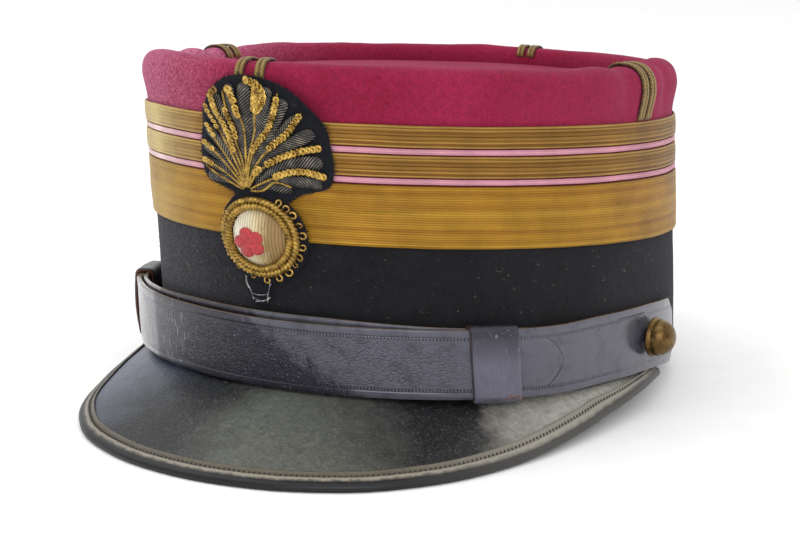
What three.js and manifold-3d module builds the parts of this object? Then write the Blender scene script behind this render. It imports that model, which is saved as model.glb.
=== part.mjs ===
// A kepi: an oval cap with straight cloth sides, a sunken top, rank lace, an embroidered
// badge, a two-piece chin strap and a leather peak. It stands on a flat surface on the back
// of its mouth and the front of its peak.
//
// The pieces are cut flat, as cloth and leather are, and then laid round the hat: in a flat
// piece x is the angle round the hat in degrees (0 at the front, + to the wearer's left) or
// millimetres along it, y is the height above the mouth, and z is the distance off the side.

import * as THREE from "three";
import { mergeVertices } from "three/addons/utils/BufferGeometryUtils.js";
import Module from "manifold-3d";

// ---- Driving dimensions: millimetres and degrees ----

const MOUTH_HALF_LENGTH = 100; // outside the cloth, front to back
const MOUTH_HALF_WIDTH = 88.6;
const CROWN_HALF_LENGTH = 105.6; // at the fullest part of the rolled rim
const CROWN_HALF_WIDTH = 86;
const CROWN_FORWARD = 17.2; // the crown's centre lies this far in front of the mouth's
const SIDE_HEIGHT = 94.9; // mouth to the fullest part of the rim
const FRONT_NARROWING = 0.044; // the front half of the oval is this share slimmer
const REST_TILT = 5.3; // the peak holds the front of the mouth up by this much
const FLATTENED = 0.35; // cloth and leather pressed flat where they rest

const GAP = 0.3; // between pieces that touch
const CLOTH = 2.2; // wall of the side, with its stiffening
const TOP_CLOTH = 2.4;
const SIDE_SEAM_HEIGHT = 60; // black cloth below, crimson above, under the lace
const RIM = { centre: -5.4, height: 96, outHalf: 6.6, upHalf: 7.6, inHalf: 5.2, swing: 1.2 };
const CROWN_DIP = { angle: -72, half: 45, depth: 2.4 }; // the rim and the lace sag a little here
const MOUTH_ARCH = 3.6; // the mouth's edge lies higher at the sides than at front and back
const RIM_END = 1.9; // quarter turns from the rim's fullest part to its inner edge
const TOP_SUNK_TO = 98; // upper face of the top disc

// The lace follows this share of the rim's dip.
const LACE = { low: 47.8, topFront: 85.7, topBack: 89, thickness: 0.8, dip: 0.8 };
const LACE_RINGS = [
  { name: "lace_wide", from: 0, to: 0.52, colour: 0xb28a2e, roughness: 0.5, metalness: 0.5 },
  { name: "silk_stripe_lower", from: 0.52, to: 0.575, colour: 0xd98aa0, roughness: 0.6, metalness: 0 },
  { name: "lace_middle", from: 0.575, to: 0.76, colour: 0xb28a2e, roughness: 0.5, metalness: 0.5 },
  { name: "silk_stripe_upper", from: 0.76, to: 0.815, colour: 0xd98aa0, roughness: 0.6, metalness: 0 },
  { name: "lace_top", from: 0.815, to: 1, colour: 0xb28a2e, roughness: 0.5, metalness: 0.5 },
];

// The braid runs up from its bottom, overRim millimetres over the roll, and ends on its inside.
const BRAID = { width: 3.6, thickness: 1, off: 0.5, bottom: 89.6, overRim: 18.2, rimEnd: 1.72 };
const BRAID_PAIRS = [
  { name: "front", angle: 1.4, spacing: 7 },
  { name: "left", angle: 89.5, spacing: 4.1 },
  { name: "back", angle: 180, spacing: 4.6 },
  { name: "right", angle: -92, spacing: 4.4 },
];

// The badge lies this far off the cloth over the lace and over the braid, and steps up from
// the one to the other between two heights. Its backing stands out round the ball by the lip.
const BADGE = {
  backing: 1.6,
  flame: 1.3,
  overLace: 1.5,
  overBraid: 3.3,
  stepFrom: 81.6,
  stepTo: 87.6,
  lip: 2,
};
const FLAME = { x: 3, y: 68, rim: 1.9, clearOfBall: 2.4 };
// Reach of the badge's cloth from the middle of the flame, by direction (0 to the wearer's left).
const FLAME_REACH = [
  { turn: 0, reach: 22.5 },
  { turn: 30, reach: 24 },
  { turn: 55, reach: 27 },
  { turn: 75, reach: 30 },
  { turn: 90, reach: 31 },
  { turn: 110, reach: 28.6 },
  { turn: 140, reach: 23 },
  { turn: 180, reach: 19.6 },
  { turn: 200, reach: 15 },
  { turn: 225, reach: 12 },
  { turn: 270, reach: 9.5 },
  { turn: 315, reach: 12 },
  { turn: 335, reach: 16.5 },
  { turn: 350, reach: 22 },
];
const BALL = { x: 2.2, y: 48.6, radius: 12.6, rope: 3.4, disc: 8.7, edge: 1, dome: 2.6 };
const ROSETTE = { x: 0.8, y: 48, radius: 4.4, petals: 5, notch: 0.82, thickness: 0.9 };
const TAB = { x: -1.2, top: 35.6, bottom: 26.4, topHalf: 4.6, bottomHalf: 2.8, thickness: 0.9 };

const STRAP = { innerWidth: 21.2, inner: 1.6, outerWidth: 22.7, outer: 1.8 };
// How the two halves lie: distance off the side of the inner and the outer half, and the
// height of their lower edges, by angle round the hat.
const STRAP_LIE = [
  { angle: -104, innerOff: 0.5, outerOff: 2.6, innerLow: 3.4, outerLow: 3 },
  { angle: -88, innerOff: 0.5, outerOff: 2.6, innerLow: 3.6, outerLow: 3.2 },
  { angle: -76, innerOff: 3, outerOff: 5.1, innerLow: 2.4, outerLow: 0.8 },
  { angle: -60, innerOff: 5.6, outerOff: 7.7, innerLow: 0.8, outerLow: -0.9 },
  { angle: -46, innerOff: 4, outerOff: 6.1, innerLow: 2, outerLow: -0.4 },
  { angle: -20, innerOff: 2, outerOff: 4, innerLow: 3.6, outerLow: 0.1 },
  { angle: 15, innerOff: 1.8, outerOff: 3.8, innerLow: 3.6, outerLow: 0.1 },
  { angle: 38, innerOff: 2, outerOff: 4, innerLow: 2, outerLow: 0.2 },
  { angle: 46, innerOff: 2, outerOff: 4, innerLow: 1.9, outerLow: 0.5 },
  { angle: 52, innerOff: 2, outerOff: 4, innerLow: 1.8, outerLow: 0.5 },
  { angle: 61, innerOff: 0.6, outerOff: 2.6, innerLow: 1.8, outerLow: 0.7 },
  { angle: 70, innerOff: 0.5, outerOff: 0.8, innerLow: 2, outerLow: 1.9 },
  { angle: 88, innerOff: 0.5, outerOff: 0.5, innerLow: 3.4, outerLow: 3.2 },
  { angle: 104, innerOff: 0.5, outerOff: 0.5, innerLow: 3.2, outerLow: 2.6 },
];
// Each half has a pointed tip and a clipped fixed end: where it ends, the angle over which it
// narrows, and the share of its width that it narrows to.
const TIP = { over: 6, blunt: 0.1 };
const FIXED_END = { over: 3, blunt: 0.5 };
const OUTER_ENDS = { left: { at: -74, ...TIP }, right: { at: 101.5, ...FIXED_END } };
const INNER_ENDS = { left: { at: -101.5, ...FIXED_END }, right: { at: 60.4, ...TIP } };
const KEEPERS = [
  { name: "keeper_right", from: 41.3, to: 50.6 },
  { name: "keeper_left", from: -69, to: -60 },
];
const KEEPER_LEATHER = 1.1;
const KEEPER_ROOM = 0.4;
const BETWEEN_HALVES = 0.42; // share of a keeper's hole that the inner half takes up
const BUTTON = {
  angle: 87,
  height: 15,
  radius: 6.7,
  dome: 6,
  rim: 0.8,
  neck: 1.8,
  neckRadius: 2.6,
  gap: 0.5,
};

// The leather bulges upwards by the crown where the peak is deep, and is nowhere shallower
// than the least.
const PEAK = { reachAngle: 92, leather: 2.4, crown: 1.2, deep: 40, least: 0.5 };
const PEAK_TUCK = { from: 0.8, depth: 3.4 }; // share from which the ends run under the mouth
const BINDING_RADIUS = 1.9;
// The peak by share of the way from the front to its end: how far its binding stands out from
// the band in plan, how high the binding lies above the surface, and how high the seam lies.
const PEAK_LINE = [
  { share: 0, out: 41.4, lift: 0, seam: 1 },
  { share: 0.12, out: 40.6, lift: 0, seam: 0.9 },
  { share: 0.25, out: 37.2, lift: 0, seam: 0.6 },
  { share: 0.375, out: 29.6, lift: 0, seam: 0.2 },
  { share: 0.5, out: 19.8, lift: 0.3, seam: -0.1 },
  { share: 0.625, out: 11.4, lift: 2.4, seam: -0.1 },
  { share: 0.75, out: 5.2, lift: 5.2, seam: 0.5 },
  { share: 0.875, out: 1.6, lift: 7.2, seam: 2 },
  { share: 1, out: -1.7, lift: 7.9, seam: 2.6 },
];

const ROUND_STEPS = 72; // round the hat
const STRAP_STEPS = 50;
const FLOOR_SIZE = 500;

const wasm = await Module();
wasm.setup();

// ---- The shape of the hat's side ----

const { degToRad, lerp, smoothstep } = THREE.MathUtils;

// A table's column at a place between two of its rows.
function columnAt(rows, key, place, column) {
  const next = rows.findIndex((row) => row[key] >= place);
  if (next < 0) return rows.at(-1)[column];
  if (next === 0) return rows[0][column];
  const [before, after] = [rows[next - 1], rows[next]];
  const share = (place - before[key]) / (after[key] - before[key]);
  return lerp(before[column], after[column], share);
}

// A point off the hat's side: angle round it, height above the mouth, distance off the cloth.
function onSide(angle, height, off) {
  const turn = degToRad(angle);
  const rise = height / SIDE_HEIGHT;
  const halfLength = lerp(MOUTH_HALF_LENGTH, CROWN_HALF_LENGTH, rise);
  const halfWidth = lerp(MOUTH_HALF_WIDTH, CROWN_HALF_WIDTH, rise);
  const [sin, cos] = [Math.sin(turn), Math.cos(turn)];
  const normal = new THREE.Vector2(
    halfLength * sin,
    -halfWidth * (cos - FRONT_NARROWING * Math.cos(2 * turn)),
  ).normalize();
  return new THREE.Vector3(
    halfWidth * sin * (1 - FRONT_NARROWING * cos) + normal.x * off,
    -halfLength * cos - CROWN_FORWARD * rise + normal.y * off,
    height,
  );
}

// Degrees round the front of the hat that a millimetre takes up.
const DEGREES_PER_MM = 180 / Math.PI / (CROWN_HALF_WIDTH * (1 - FRONT_NARROWING));

// Moves every vertex of a flat piece to its place on the hat.
function laid(geometry, place) {
  const flat = new THREE.BufferGeometry();
  flat.setAttribute("position", geometry.getAttribute("position").clone());
  flat.setIndex(geometry.index);
  const position = flat.getAttribute("position");
  for (let i = 0; i < position.count; i += 1) {
    const to = place(position.getX(i), position.getY(i), position.getZ(i));
    position.setXYZ(i, to.x, to.y, to.z);
  }
  const closed = mergeVertices(flat, 1e-3);
  const solid = solidOf(closed);
  return solid.volume() > 0 ? closed : turnedOut(closed);
}

// The same faces pointing the other way.
function turnedOut(geometry) {
  const index = geometry.index;
  for (let i = 0; i < index.count; i += 3) {
    const first = index.getX(i);
    index.setX(i, index.getX(i + 1));
    index.setX(i + 1, first);
  }
  return geometry;
}

function solidOf(geometry) {
  return new wasm.Manifold(
    new wasm.Mesh({
      numProp: 3,
      vertProperties: new Float32Array(geometry.getAttribute("position").array),
      triVerts: new Uint32Array(geometry.index.array),
    }),
  );
}

function geometryOf(solid) {
  const mesh = solid.getMesh();
  const geometry = new THREE.BufferGeometry();
  geometry.setAttribute("position", new THREE.BufferAttribute(mesh.vertProperties, 3));
  geometry.setIndex(new THREE.BufferAttribute(mesh.triVerts, 1));
  return geometry;
}

// ---- The hat, tilted as it stands ----

const hat = new THREE.Group();
hat.rotation.x = -degToRad(REST_TILT);
hat.position.z = MOUTH_HALF_LENGTH * Math.sin(degToRad(REST_TILT)) - FLATTENED;
hat.updateMatrixWorld(true);

const floor = new THREE.BoxGeometry(FLOOR_SIZE, FLOOR_SIZE, FLOOR_SIZE);
floor.translate(0, 0, -FLOOR_SIZE / 2);
floor.applyMatrix4(hat.matrixWorld.clone().invert());
floor.deleteAttribute("normal");
floor.deleteAttribute("uv");
const floorSolid = solidOf(mergeVertices(floor));

// A soft piece pressed flat where it meets the surface.
function pressedFlat(geometry) {
  return geometryOf(solidOf(geometry).subtract(floorSolid));
}

function add(name, geometry, { colour, roughness, metalness }) {
  geometry.computeVertexNormals();
  const material = new THREE.MeshStandardMaterial({ color: colour, roughness, metalness });
  const mesh = new THREE.Mesh(geometry, material);
  mesh.name = name;
  hat.add(mesh);
}

const BLACK_CLOTH = { colour: 0x1b1a20, roughness: 0.95, metalness: 0 };
const CRIMSON_CLOTH = { colour: 0x8e1c3c, roughness: 0.9, metalness: 0 };
const GOLD_BRAID = { colour: 0x8a6a2c, roughness: 0.55, metalness: 0.4 };
const BADGE_CLOTH = { colour: 0x151720, roughness: 0.95, metalness: 0 };
const GOLD_THREAD = { colour: 0xb8862c, roughness: 0.45, metalness: 0.6 };
const GREY_THREAD = { colour: 0x3a3a3e, roughness: 0.6, metalness: 0.2 };
const SILVER_THREAD = { colour: 0xd8d0b4, roughness: 0.5, metalness: 0.3 };
const RED_THREAD = { colour: 0xb01e28, roughness: 0.6, metalness: 0 };
const PATENT_LEATHER = { colour: 0x14161c, roughness: 0.25, metalness: 0 };
const BROWN_LEATHER = { colour: 0x2a1c16, roughness: 0.4, metalness: 0 };
const BRASS = { colour: 0x8c6c34, roughness: 0.35, metalness: 0.9 };

// ---- Cloth: band, side and top ----

function crownDip(angle) {
  const away = Math.min(Math.abs(angle - CROWN_DIP.angle) / CROWN_DIP.half, 1);
  return CROWN_DIP.depth * Math.cos((away * Math.PI) / 2) ** 2;
}

// The rim lies a little lower at the front than at the back, and the seam is level.
function crownHeight(angle, height) {
  const share = smoothstep(height, SIDE_SEAM_HEIGHT, RIM.height);
  return height - (RIM.swing * Math.cos(degToRad(angle)) + crownDip(angle)) * share;
}

function bandHeight(angle, height) {
  const share = 1 - height / SIDE_SEAM_HEIGHT;
  return height + MOUTH_ARCH * Math.sin(degToRad(angle)) ** 2 * share;
}

// A closed ring of a profile of [distance off the side, height] corners.
function ring(corners, heightAt = (angle, height) => height) {
  const radius = MOUTH_HALF_LENGTH;
  const profile = corners.map(([off, height]) => new THREE.Vector2(radius + off, height));
  profile.push(profile[0].clone());
  const round = new THREE.LatheGeometry(profile, ROUND_STEPS);
  return laid(round, (x, y, z) => {
    const angle = THREE.MathUtils.radToDeg(Math.atan2(x, z));
    return onSide(angle, heightAt(angle, y), Math.hypot(x, z) - radius);
  });
}

function band() {
  const top = SIDE_SEAM_HEIGHT - GAP;
  return pressedFlat(ring([[0, 0], [0, top], [-CLOTH, top], [-CLOTH, 0]], bandHeight));
}

// The outside of the rolled rim from its fullest part (0) over the top (1) to the inside (2).
function onRim(share) {
  const turn = (share * Math.PI) / 2;
  const half = share < 1 ? RIM.outHalf : RIM.inHalf;
  return [RIM.centre + half * Math.cos(turn), RIM.height + RIM.upHalf * Math.sin(turn)];
}

function crownSide() {
  const roll = Array.from({ length: 11 }, (_, i) => onRim((i / 10) * RIM_END));
  const inside = roll.at(-1)[0];
  return ring([
    [0, SIDE_SEAM_HEIGHT],
    [0, RIM.height - RIM.upHalf],
    ...roll,
    [inside, TOP_SUNK_TO - TOP_CLOTH],
    [RIM.centre, RIM.height - CLOTH],
    [-CLOTH, RIM.height - RIM.upHalf],
    [-CLOTH, SIDE_SEAM_HEIGHT],
  ], crownHeight);
}

function crownTop() {
  const edge = onRim(RIM_END)[0] - GAP;
  const corners = [[0, 0], [1, 0], [1, 1], [0, 1]].map(([x, y]) => new THREE.Vector2(x, y));
  const disc = new THREE.LatheGeometry(corners, ROUND_STEPS);
  return laid(disc, (x, y, z) => {
    const height = TOP_SUNK_TO - TOP_CLOTH * (1 - y);
    const middle = new THREE.Vector3(0, (-CROWN_FORWARD * height) / SIDE_HEIGHT, height);
    const angle = THREE.MathUtils.radToDeg(Math.atan2(x, z));
    return middle.lerp(onSide(angle, crownHeight(angle, height), edge), Math.hypot(x, z));
  });
}

add("band", band(), BLACK_CLOTH);
add("crown_side", crownSide(), CRIMSON_CLOTH);
add("crown_top", crownTop(), CRIMSON_CLOTH);

// ---- Rank lace and silk stripes ----

function laceHeight(angle, share) {
  const middle = (LACE.topFront + LACE.topBack) / 2;
  const swing = (LACE.topFront - LACE.topBack) / 2;
  const top = middle + swing * Math.cos(degToRad(angle)) - LACE.dip * crownDip(angle);
  return lerp(LACE.low, top, share);
}

for (const { name, from, to, ...finish } of LACE_RINGS) {
  const half = GAP / 2 / (LACE.topFront - LACE.low);
  const [low, high] = [from + half, to - half];
  const [inner, outer] = [GAP, GAP + LACE.thickness];
  add(name, ring([[outer, low], [outer, high], [inner, high], [inner, low]], laceHeight), finish);
}

// ---- Narrow braid over the rim ----

// The way of the braid up the side and over the rim, as [distance off the side, height].
function braidWay(share) {
  const straight = RIM.height - BRAID.bottom;
  const along = share * (straight + BRAID.overRim);
  if (along > straight) return onRim(((along - straight) / BRAID.overRim) * BRAID.rimEnd);
  const off = onRim(0)[0] * smoothstep(along, 0, straight);
  return [off, BRAID.bottom + along];
}

function braid(angle) {
  const strip = new THREE.BoxGeometry(BRAID.width, 1, 1, 1, 16, 1);
  return laid(strip, (x, y, z) => {
    const share = y + 0.5;
    const [off, height] = braidWay(share);
    const [offNext, heightNext] = braidWay(share + 0.01);
    const way = new THREE.Vector2(offNext - off, heightNext - height).normalize();
    const out = BRAID.off + (z + 0.5) * BRAID.thickness;
    const across = x * DEGREES_PER_MM;
    const lies = crownHeight(angle, height - way.x * out);
    return onSide(angle + across, lies, off + way.y * out);
  });
}

for (const { name, angle, spacing } of BRAID_PAIRS) {
  const half = (spacing / 2) * DEGREES_PER_MM;
  add(`soutache_${name}_1`, braid(angle - half), GOLD_BRAID);
  add(`soutache_${name}_2`, braid(angle + half), GOLD_BRAID);
}

// ---- Badge ----

// The badge lies on the lace and, at its top, on the braid.
function badgeSeat(height) {
  const step = smoothstep(height, BADGE.stepFrom, BADGE.stepTo);
  return lerp(BADGE.overLace, BADGE.overBraid, step);
}

// A pad with a polar outline: rings of it from the middle to the edge, from one distance off
// the badge's seat to another, the front domed by the given height.
function pad({ x, y, reachAt, low, high, dome = 0, steps }) {
  const shares = [0, 0.35, 0.7, 1];
  const under = shares.map((share) => new THREE.Vector2(share, 0));
  const over = shares.toReversed().map((share) => new THREE.Vector2(share, 1));
  const round = new THREE.LatheGeometry([...under, ...over], steps);
  return laid(round, (px, py, pz) => {
    const share = Math.hypot(px, pz);
    const turn = Math.atan2(px, pz);
    const reach = reachAt((THREE.MathUtils.radToDeg(turn) + 360) % 360) * share;
    const height = y + reach * Math.sin(turn);
    const raised = high + dome * (1 - share * share);
    const off = badgeSeat(height) + lerp(low, raised, py);
    return onSide((x + reach * Math.cos(turn)) * DEGREES_PER_MM, height, off);
  });
}

function flameReach(turn) {
  const closed = [...FLAME_REACH, { ...FLAME_REACH[0], turn: 360 }];
  return columnAt(closed, "turn", turn, "reach");
}

// From the flame's middle the backing also reaches round the ball.
function ballReach(turn, radius) {
  const direction = new THREE.Vector2(Math.cos(degToRad(turn)), Math.sin(degToRad(turn)));
  const toBall = new THREE.Vector2(BALL.x - FLAME.x, BALL.y - FLAME.y);
  const along = direction.dot(toBall);
  const aside = toBall.lengthSq() - along * along;
  return aside < radius * radius && along > 0 ? along + Math.sqrt(radius * radius - aside) : 0;
}

function badgeBacking() {
  const reachAt = (turn) => Math.max(flameReach(turn), ballReach(turn, BALL.radius + BADGE.lip));
  return pad({ ...FLAME, reachAt, low: 0, high: BADGE.backing, steps: 56 });
}

function badgeFlame() {
  const reachAt = (turn) => flameReach(turn) - FLAME.rim - clearOfBall(turn);
  const low = BADGE.backing + 2 * GAP;
  return pad({ ...FLAME, reachAt, low, high: low + BADGE.flame, steps: 56 });
}

// How much the flame's pad draws back above the ball.
function clearOfBall(turn) {
  const towardsBall = Math.cos(degToRad(turn - 270));
  return FLAME.clearOfBall * Math.max(towardsBall, 0);
}

function badgeBallRim() {
  const middle = BALL.radius - BALL.rope / 2;
  const low = BADGE.backing + GAP;
  const torus = new THREE.TorusGeometry(middle, BALL.rope / 2, 8, 32);
  return laid(torus, (x, y, z) =>
    onSide((BALL.x + x) * DEGREES_PER_MM, BALL.y + y, badgeSeat(0) + low + BALL.rope / 2 + z),
  );
}

function badgeBall() {
  const { x, y, disc, edge, dome } = BALL;
  const low = BADGE.backing + GAP;
  return pad({ x, y, reachAt: () => disc, low, high: low + edge, dome, steps: 32 });
}

function badgeRosette() {
  const { x, y } = ROSETTE;
  const low = BADGE.backing + GAP + BALL.edge + BALL.dome + GAP;
  const reachAt = (turn) => {
    const petal = Math.abs(Math.sin(degToRad((turn * ROSETTE.petals) / 2)));
    return ROSETTE.radius * lerp(ROSETTE.notch, 1, petal);
  };
  return pad({ x, y, reachAt, low, high: low + ROSETTE.thickness, steps: 40 });
}

function badgeTab() {
  const strip = new THREE.BoxGeometry(2, 1, 1, 4, 1, 1);
  return laid(strip, (x, y, z) => {
    const share = y + 0.5;
    const half = lerp(TAB.bottomHalf, TAB.topHalf, share);
    const off = GAP + (z + 0.5) * TAB.thickness;
    return onSide((TAB.x + x * half) * DEGREES_PER_MM, lerp(TAB.bottom, TAB.top, share), off);
  });
}

add("badge_backing", badgeBacking(), BADGE_CLOTH);
add("badge_flame", badgeFlame(), GREY_THREAD);
add("badge_ball_rim", badgeBallRim(), GOLD_THREAD);
add("badge_ball", badgeBall(), SILVER_THREAD);
add("badge_rosette", badgeRosette(), RED_THREAD);
add("badge_tab", badgeTab(), BADGE_CLOTH);

// ---- Chin strap: two halves, two keepers, two buttons ----

// A strap's width narrows over the first and the last step.
function strap({ left, right }, half) {
  const thickness = STRAP[half];
  const width = STRAP[`${half}Width`];
  const from = left.at + left.over;
  const to = right.at - right.over;
  const flat = new THREE.BoxGeometry(STRAP_STEPS, 1, 1, STRAP_STEPS, 1, 1);
  return laid(flat, (x, y, z) => {
    const step = Math.round(x + STRAP_STEPS / 2);
    const atLeft = step === 0;
    const atRight = step === STRAP_STEPS;
    const between = lerp(from, to, (step - 1) / (STRAP_STEPS - 2));
    const angle = atLeft ? left.at : atRight ? right.at : between;
    const share = atLeft ? left.blunt : atRight ? right.blunt : 1;
    const off = columnAt(STRAP_LIE, "angle", angle, `${half}Off`) + (z + 0.5) * thickness;
    const low = columnAt(STRAP_LIE, "angle", angle, `${half}Low`);
    return onSide(angle, low + (0.5 + y * share) * width, off);
  });
}

// A flat loop of leather round both halves of the strap.
function keeper({ from, to }) {
  const lie = (angle, column) => columnAt(STRAP_LIE, "angle", angle, column);
  const rectangle = (edge) => [
    [-edge, -edge],
    [BETWEEN_HALVES, -edge],
    [1 + edge, -edge],
    [1 + edge, 1 + edge],
    [-edge, 1 + edge],
  ];
  const corners = (edge) => rectangle(edge).map(([x, y]) => new THREE.Vector2(x, y));
  const section = new THREE.Shape(corners(1));
  section.holes.push(new THREE.Path(corners(0)));
  const depth = to - from;
  const loop = new THREE.ExtrudeGeometry(section, { depth, steps: 4, bevelEnabled: false });
  // In the section x runs from the inside (0) to the outside (1) of the loop's hole and y from
  // its lowest (0) to its highest (1); beyond them lies the leather.
  const span = (share, low, high) =>
    lerp(low, high, THREE.MathUtils.clamp(share, 0, 1)) +
    KEEPER_LEATHER * (share < 0 ? share : Math.max(share - 1, 0));
  return laid(loop, (x, y, z) => {
    const angle = from + z;
    const nearest = lie(angle, "innerOff") - KEEPER_ROOM;
    const furthest = lie(angle, "outerOff") + STRAP.outer + KEEPER_ROOM;
    const lowest = lie(angle, x < BETWEEN_HALVES / 2 ? "innerLow" : "outerLow") - KEEPER_ROOM;
    const innerTop = lie(angle, "innerLow") + STRAP.innerWidth;
    const outerTop = lie(angle, "outerLow") + STRAP.outerWidth;
    const highest = Math.max(innerTop, outerTop) + KEEPER_ROOM;
    return onSide(angle, span(y, lowest, highest), span(x, nearest, furthest));
  });
}

function button(side) {
  const { neck, neckRadius, radius, rim, dome } = BUTTON;
  const bulge = Array.from({ length: 7 }, (_, i) => {
    const turn = (i / 6) * (Math.PI / 2);
    return new THREE.Vector2(radius * Math.cos(turn), neck + rim + dome * Math.sin(turn));
  });
  bulge.at(-1).x = 0;
  const profile = [[0, 0], [neckRadius, 0], [neckRadius, neck], [radius, neck]];
  const corners = profile.map(([x, y]) => new THREE.Vector2(x, y));
  const turned = new THREE.LatheGeometry([...corners, ...bulge], 28);
  const half = side > 0 ? "outer" : "inner";
  const lie = columnAt(STRAP_LIE, "angle", side * BUTTON.angle, `${half}Off`);
  const off = lie + STRAP[half] + BUTTON.gap;
  const seat = onSide(side * BUTTON.angle, BUTTON.height, off);
  const out = onSide(side * BUTTON.angle, BUTTON.height, off + 1).sub(seat);
  const turn = new THREE.Quaternion().setFromUnitVectors(new THREE.Vector3(0, 1, 0), out);
  return laid(turned, (x, y, z) => new THREE.Vector3(x, y, z).applyQuaternion(turn).add(seat));
}

add("strap_inner", strap(INNER_ENDS, "inner"), PATENT_LEATHER);
add("strap_outer", strap(OUTER_ENDS, "outer"), PATENT_LEATHER);
for (const place of KEEPERS) add(place.name, keeper(place), BROWN_LEATHER);
add("button_left", button(1), BRASS);
add("button_right", button(-1), BRASS);

// ---- Peak and its binding ----

// The middle of the binding at a share of the way round the peak.
function peakEdge(share) {
  const out = columnAt(PEAK_LINE, "share", Math.abs(share), "out");
  const lift = columnAt(PEAK_LINE, "share", Math.abs(share), "lift");
  const edge = onSide(share * PEAK.reachAngle, 0, GAP + BINDING_RADIUS + out);
  const tilt = degToRad(REST_TILT);
  const high = lift + BINDING_RADIUS - hat.position.z - FLATTENED;
  return edge.setZ((high + edge.y * Math.sin(tilt)) / Math.cos(tilt));
}

function peak() {
  const leather = new THREE.BoxGeometry(2, 1, 1, 48, 7, 1);
  return laid(leather, (x, y, z) => {
    const share = y + 0.5;
    const seam = columnAt(PEAK_LINE, "share", Math.abs(x), "seam");
    const tuck = PEAK_TUCK.depth * smoothstep(Math.abs(x), PEAK_TUCK.from, 1);
    const from = onSide(x * PEAK.reachAngle, seam, GAP - tuck);
    const to = peakEdge(x);
    const run = Math.hypot(to.x - from.x, to.y - from.y);
    const along = peakEdge(x + 0.01).sub(peakEdge(x - 0.01)).setZ(0).normalize();
    const out = to.clone().sub(from).setZ(0).normalize();
    const slant = Math.abs(out.x * along.y - out.y * along.x);
    const reach = Math.max(run - (BINDING_RADIUS + GAP) / slant, PEAK.least) / run;
    const at = from.clone().lerp(to, share * reach);
    const fall = (from.z - to.z) / run;
    const slope = Math.hypot(1, fall);
    const deep = Math.min(run / PEAK.deep, 1);
    const crowned = PEAK.crown * 4 * share * (1 - share) * slope * deep;
    const top = at.z + crowned + ((PEAK.leather / 2) * slope) * share;
    return at.setZ(top - (0.5 - z) * PEAK.leather * slope);
  });
}

function peakBinding() {
  const points = Array.from({ length: 33 }, (_, i) => peakEdge(i / 16 - 1));
  const round = new THREE.Shape();
  round.absarc(0, 0, BINDING_RADIUS, 0, 2 * Math.PI);
  const tube = new THREE.ExtrudeGeometry(round, {
    steps: 64,
    curveSegments: 5,
    bevelEnabled: false,
    extrudePath: new THREE.CatmullRomCurve3(points),
  });
  return pressedFlat(laid(tube, (x, y, z) => new THREE.Vector3(x, y, z)));
}

add("peak", pressedFlat(peak()), PATENT_LEATHER);
add("peak_binding", peakBinding(), PATENT_LEATHER);

// ---- The origin is the middle of the box, on the surface ----

const kepi = new THREE.Group();
kepi.add(hat);
kepi.updateMatrixWorld(true);
const middle = new THREE.Box3().setFromObject(kepi, true).getCenter(new THREE.Vector3());
hat.position.x -= middle.x;
hat.position.y -= middle.y;

export default kepi;
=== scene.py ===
import math
import random

import bmesh
import bpy
from mathutils import Matrix, Vector, noise


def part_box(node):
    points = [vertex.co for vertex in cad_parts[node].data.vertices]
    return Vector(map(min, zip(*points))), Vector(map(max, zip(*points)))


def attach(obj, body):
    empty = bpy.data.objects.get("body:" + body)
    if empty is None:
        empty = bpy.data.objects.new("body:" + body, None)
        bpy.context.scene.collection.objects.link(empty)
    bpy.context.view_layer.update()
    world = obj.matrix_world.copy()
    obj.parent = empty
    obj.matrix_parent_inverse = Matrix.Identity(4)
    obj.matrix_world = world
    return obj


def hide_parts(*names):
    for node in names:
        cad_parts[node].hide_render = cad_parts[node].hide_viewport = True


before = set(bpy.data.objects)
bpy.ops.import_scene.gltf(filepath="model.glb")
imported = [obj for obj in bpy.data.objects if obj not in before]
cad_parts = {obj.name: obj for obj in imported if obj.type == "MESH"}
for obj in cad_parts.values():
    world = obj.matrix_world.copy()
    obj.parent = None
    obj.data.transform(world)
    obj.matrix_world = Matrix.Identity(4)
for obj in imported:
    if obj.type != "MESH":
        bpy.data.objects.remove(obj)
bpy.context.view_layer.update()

# ---- Materials: short ways to add their nodes ----
# Most of these take sockets or plain values and give the new node's socket. The node goes into
# the tree that its first socket belongs to.


def colour(code):
    """A hex colour as linear red, green, blue and alpha."""
    parts = [int(code[at : at + 2], 16) / 255 for at in (1, 3, 5)]
    linear = [part / 12.92 if part <= 0.04045 else ((part + 0.055) / 1.055) ** 2.4 for part in parts]
    return (*linear, 1.0)


def add(tree, kind, links=None, stops=None, **settings):
    """Adds a node with its settings, a ramp's stops, and what its inputs are linked or set to."""
    node = tree.nodes.new("ShaderNode" + kind)
    for name, value in settings.items():
        setattr(node, name, value)
    for at, (place, tone) in enumerate(stops or []):
        ramp = node.color_ramp.elements
        stop = ramp[at] if at < 2 else ramp.new(place)
        stop.position = place
        stop.color = colour(tone) if isinstance(tone, str) else (tone, tone, tone, 1)
    for name, value in (links or {}).items():
        if isinstance(value, bpy.types.NodeSocket):
            tree.links.new(value, node.inputs[name])
        else:
            node.inputs[name].default_value = value
    return node


def tree_of(values):
    """The node tree that the first socket among some values belongs to."""
    return next(value.id_data for value in values if isinstance(value, bpy.types.NodeSocket))


def maths(kind, *values):
    return add(tree_of(values), "Math", dict(enumerate(values)), operation=kind).outputs[0]


def times(first, *others):
    for other in others:
        first = maths("MULTIPLY", first, other)
    return first


def ramped(value, low, high, at_low=0.0, at_high=1.0, **settings):
    """What goes from at_low to at_high while a value goes from low to high, and no further."""
    ends = {"Value": value, 1: low, 2: high, 3: at_low, 4: at_high}
    return add(value.id_data, "MapRange", ends, **settings).outputs[0]


SPREAD = (0.3, 0.7)  # what most of a noise keeps between


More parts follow.
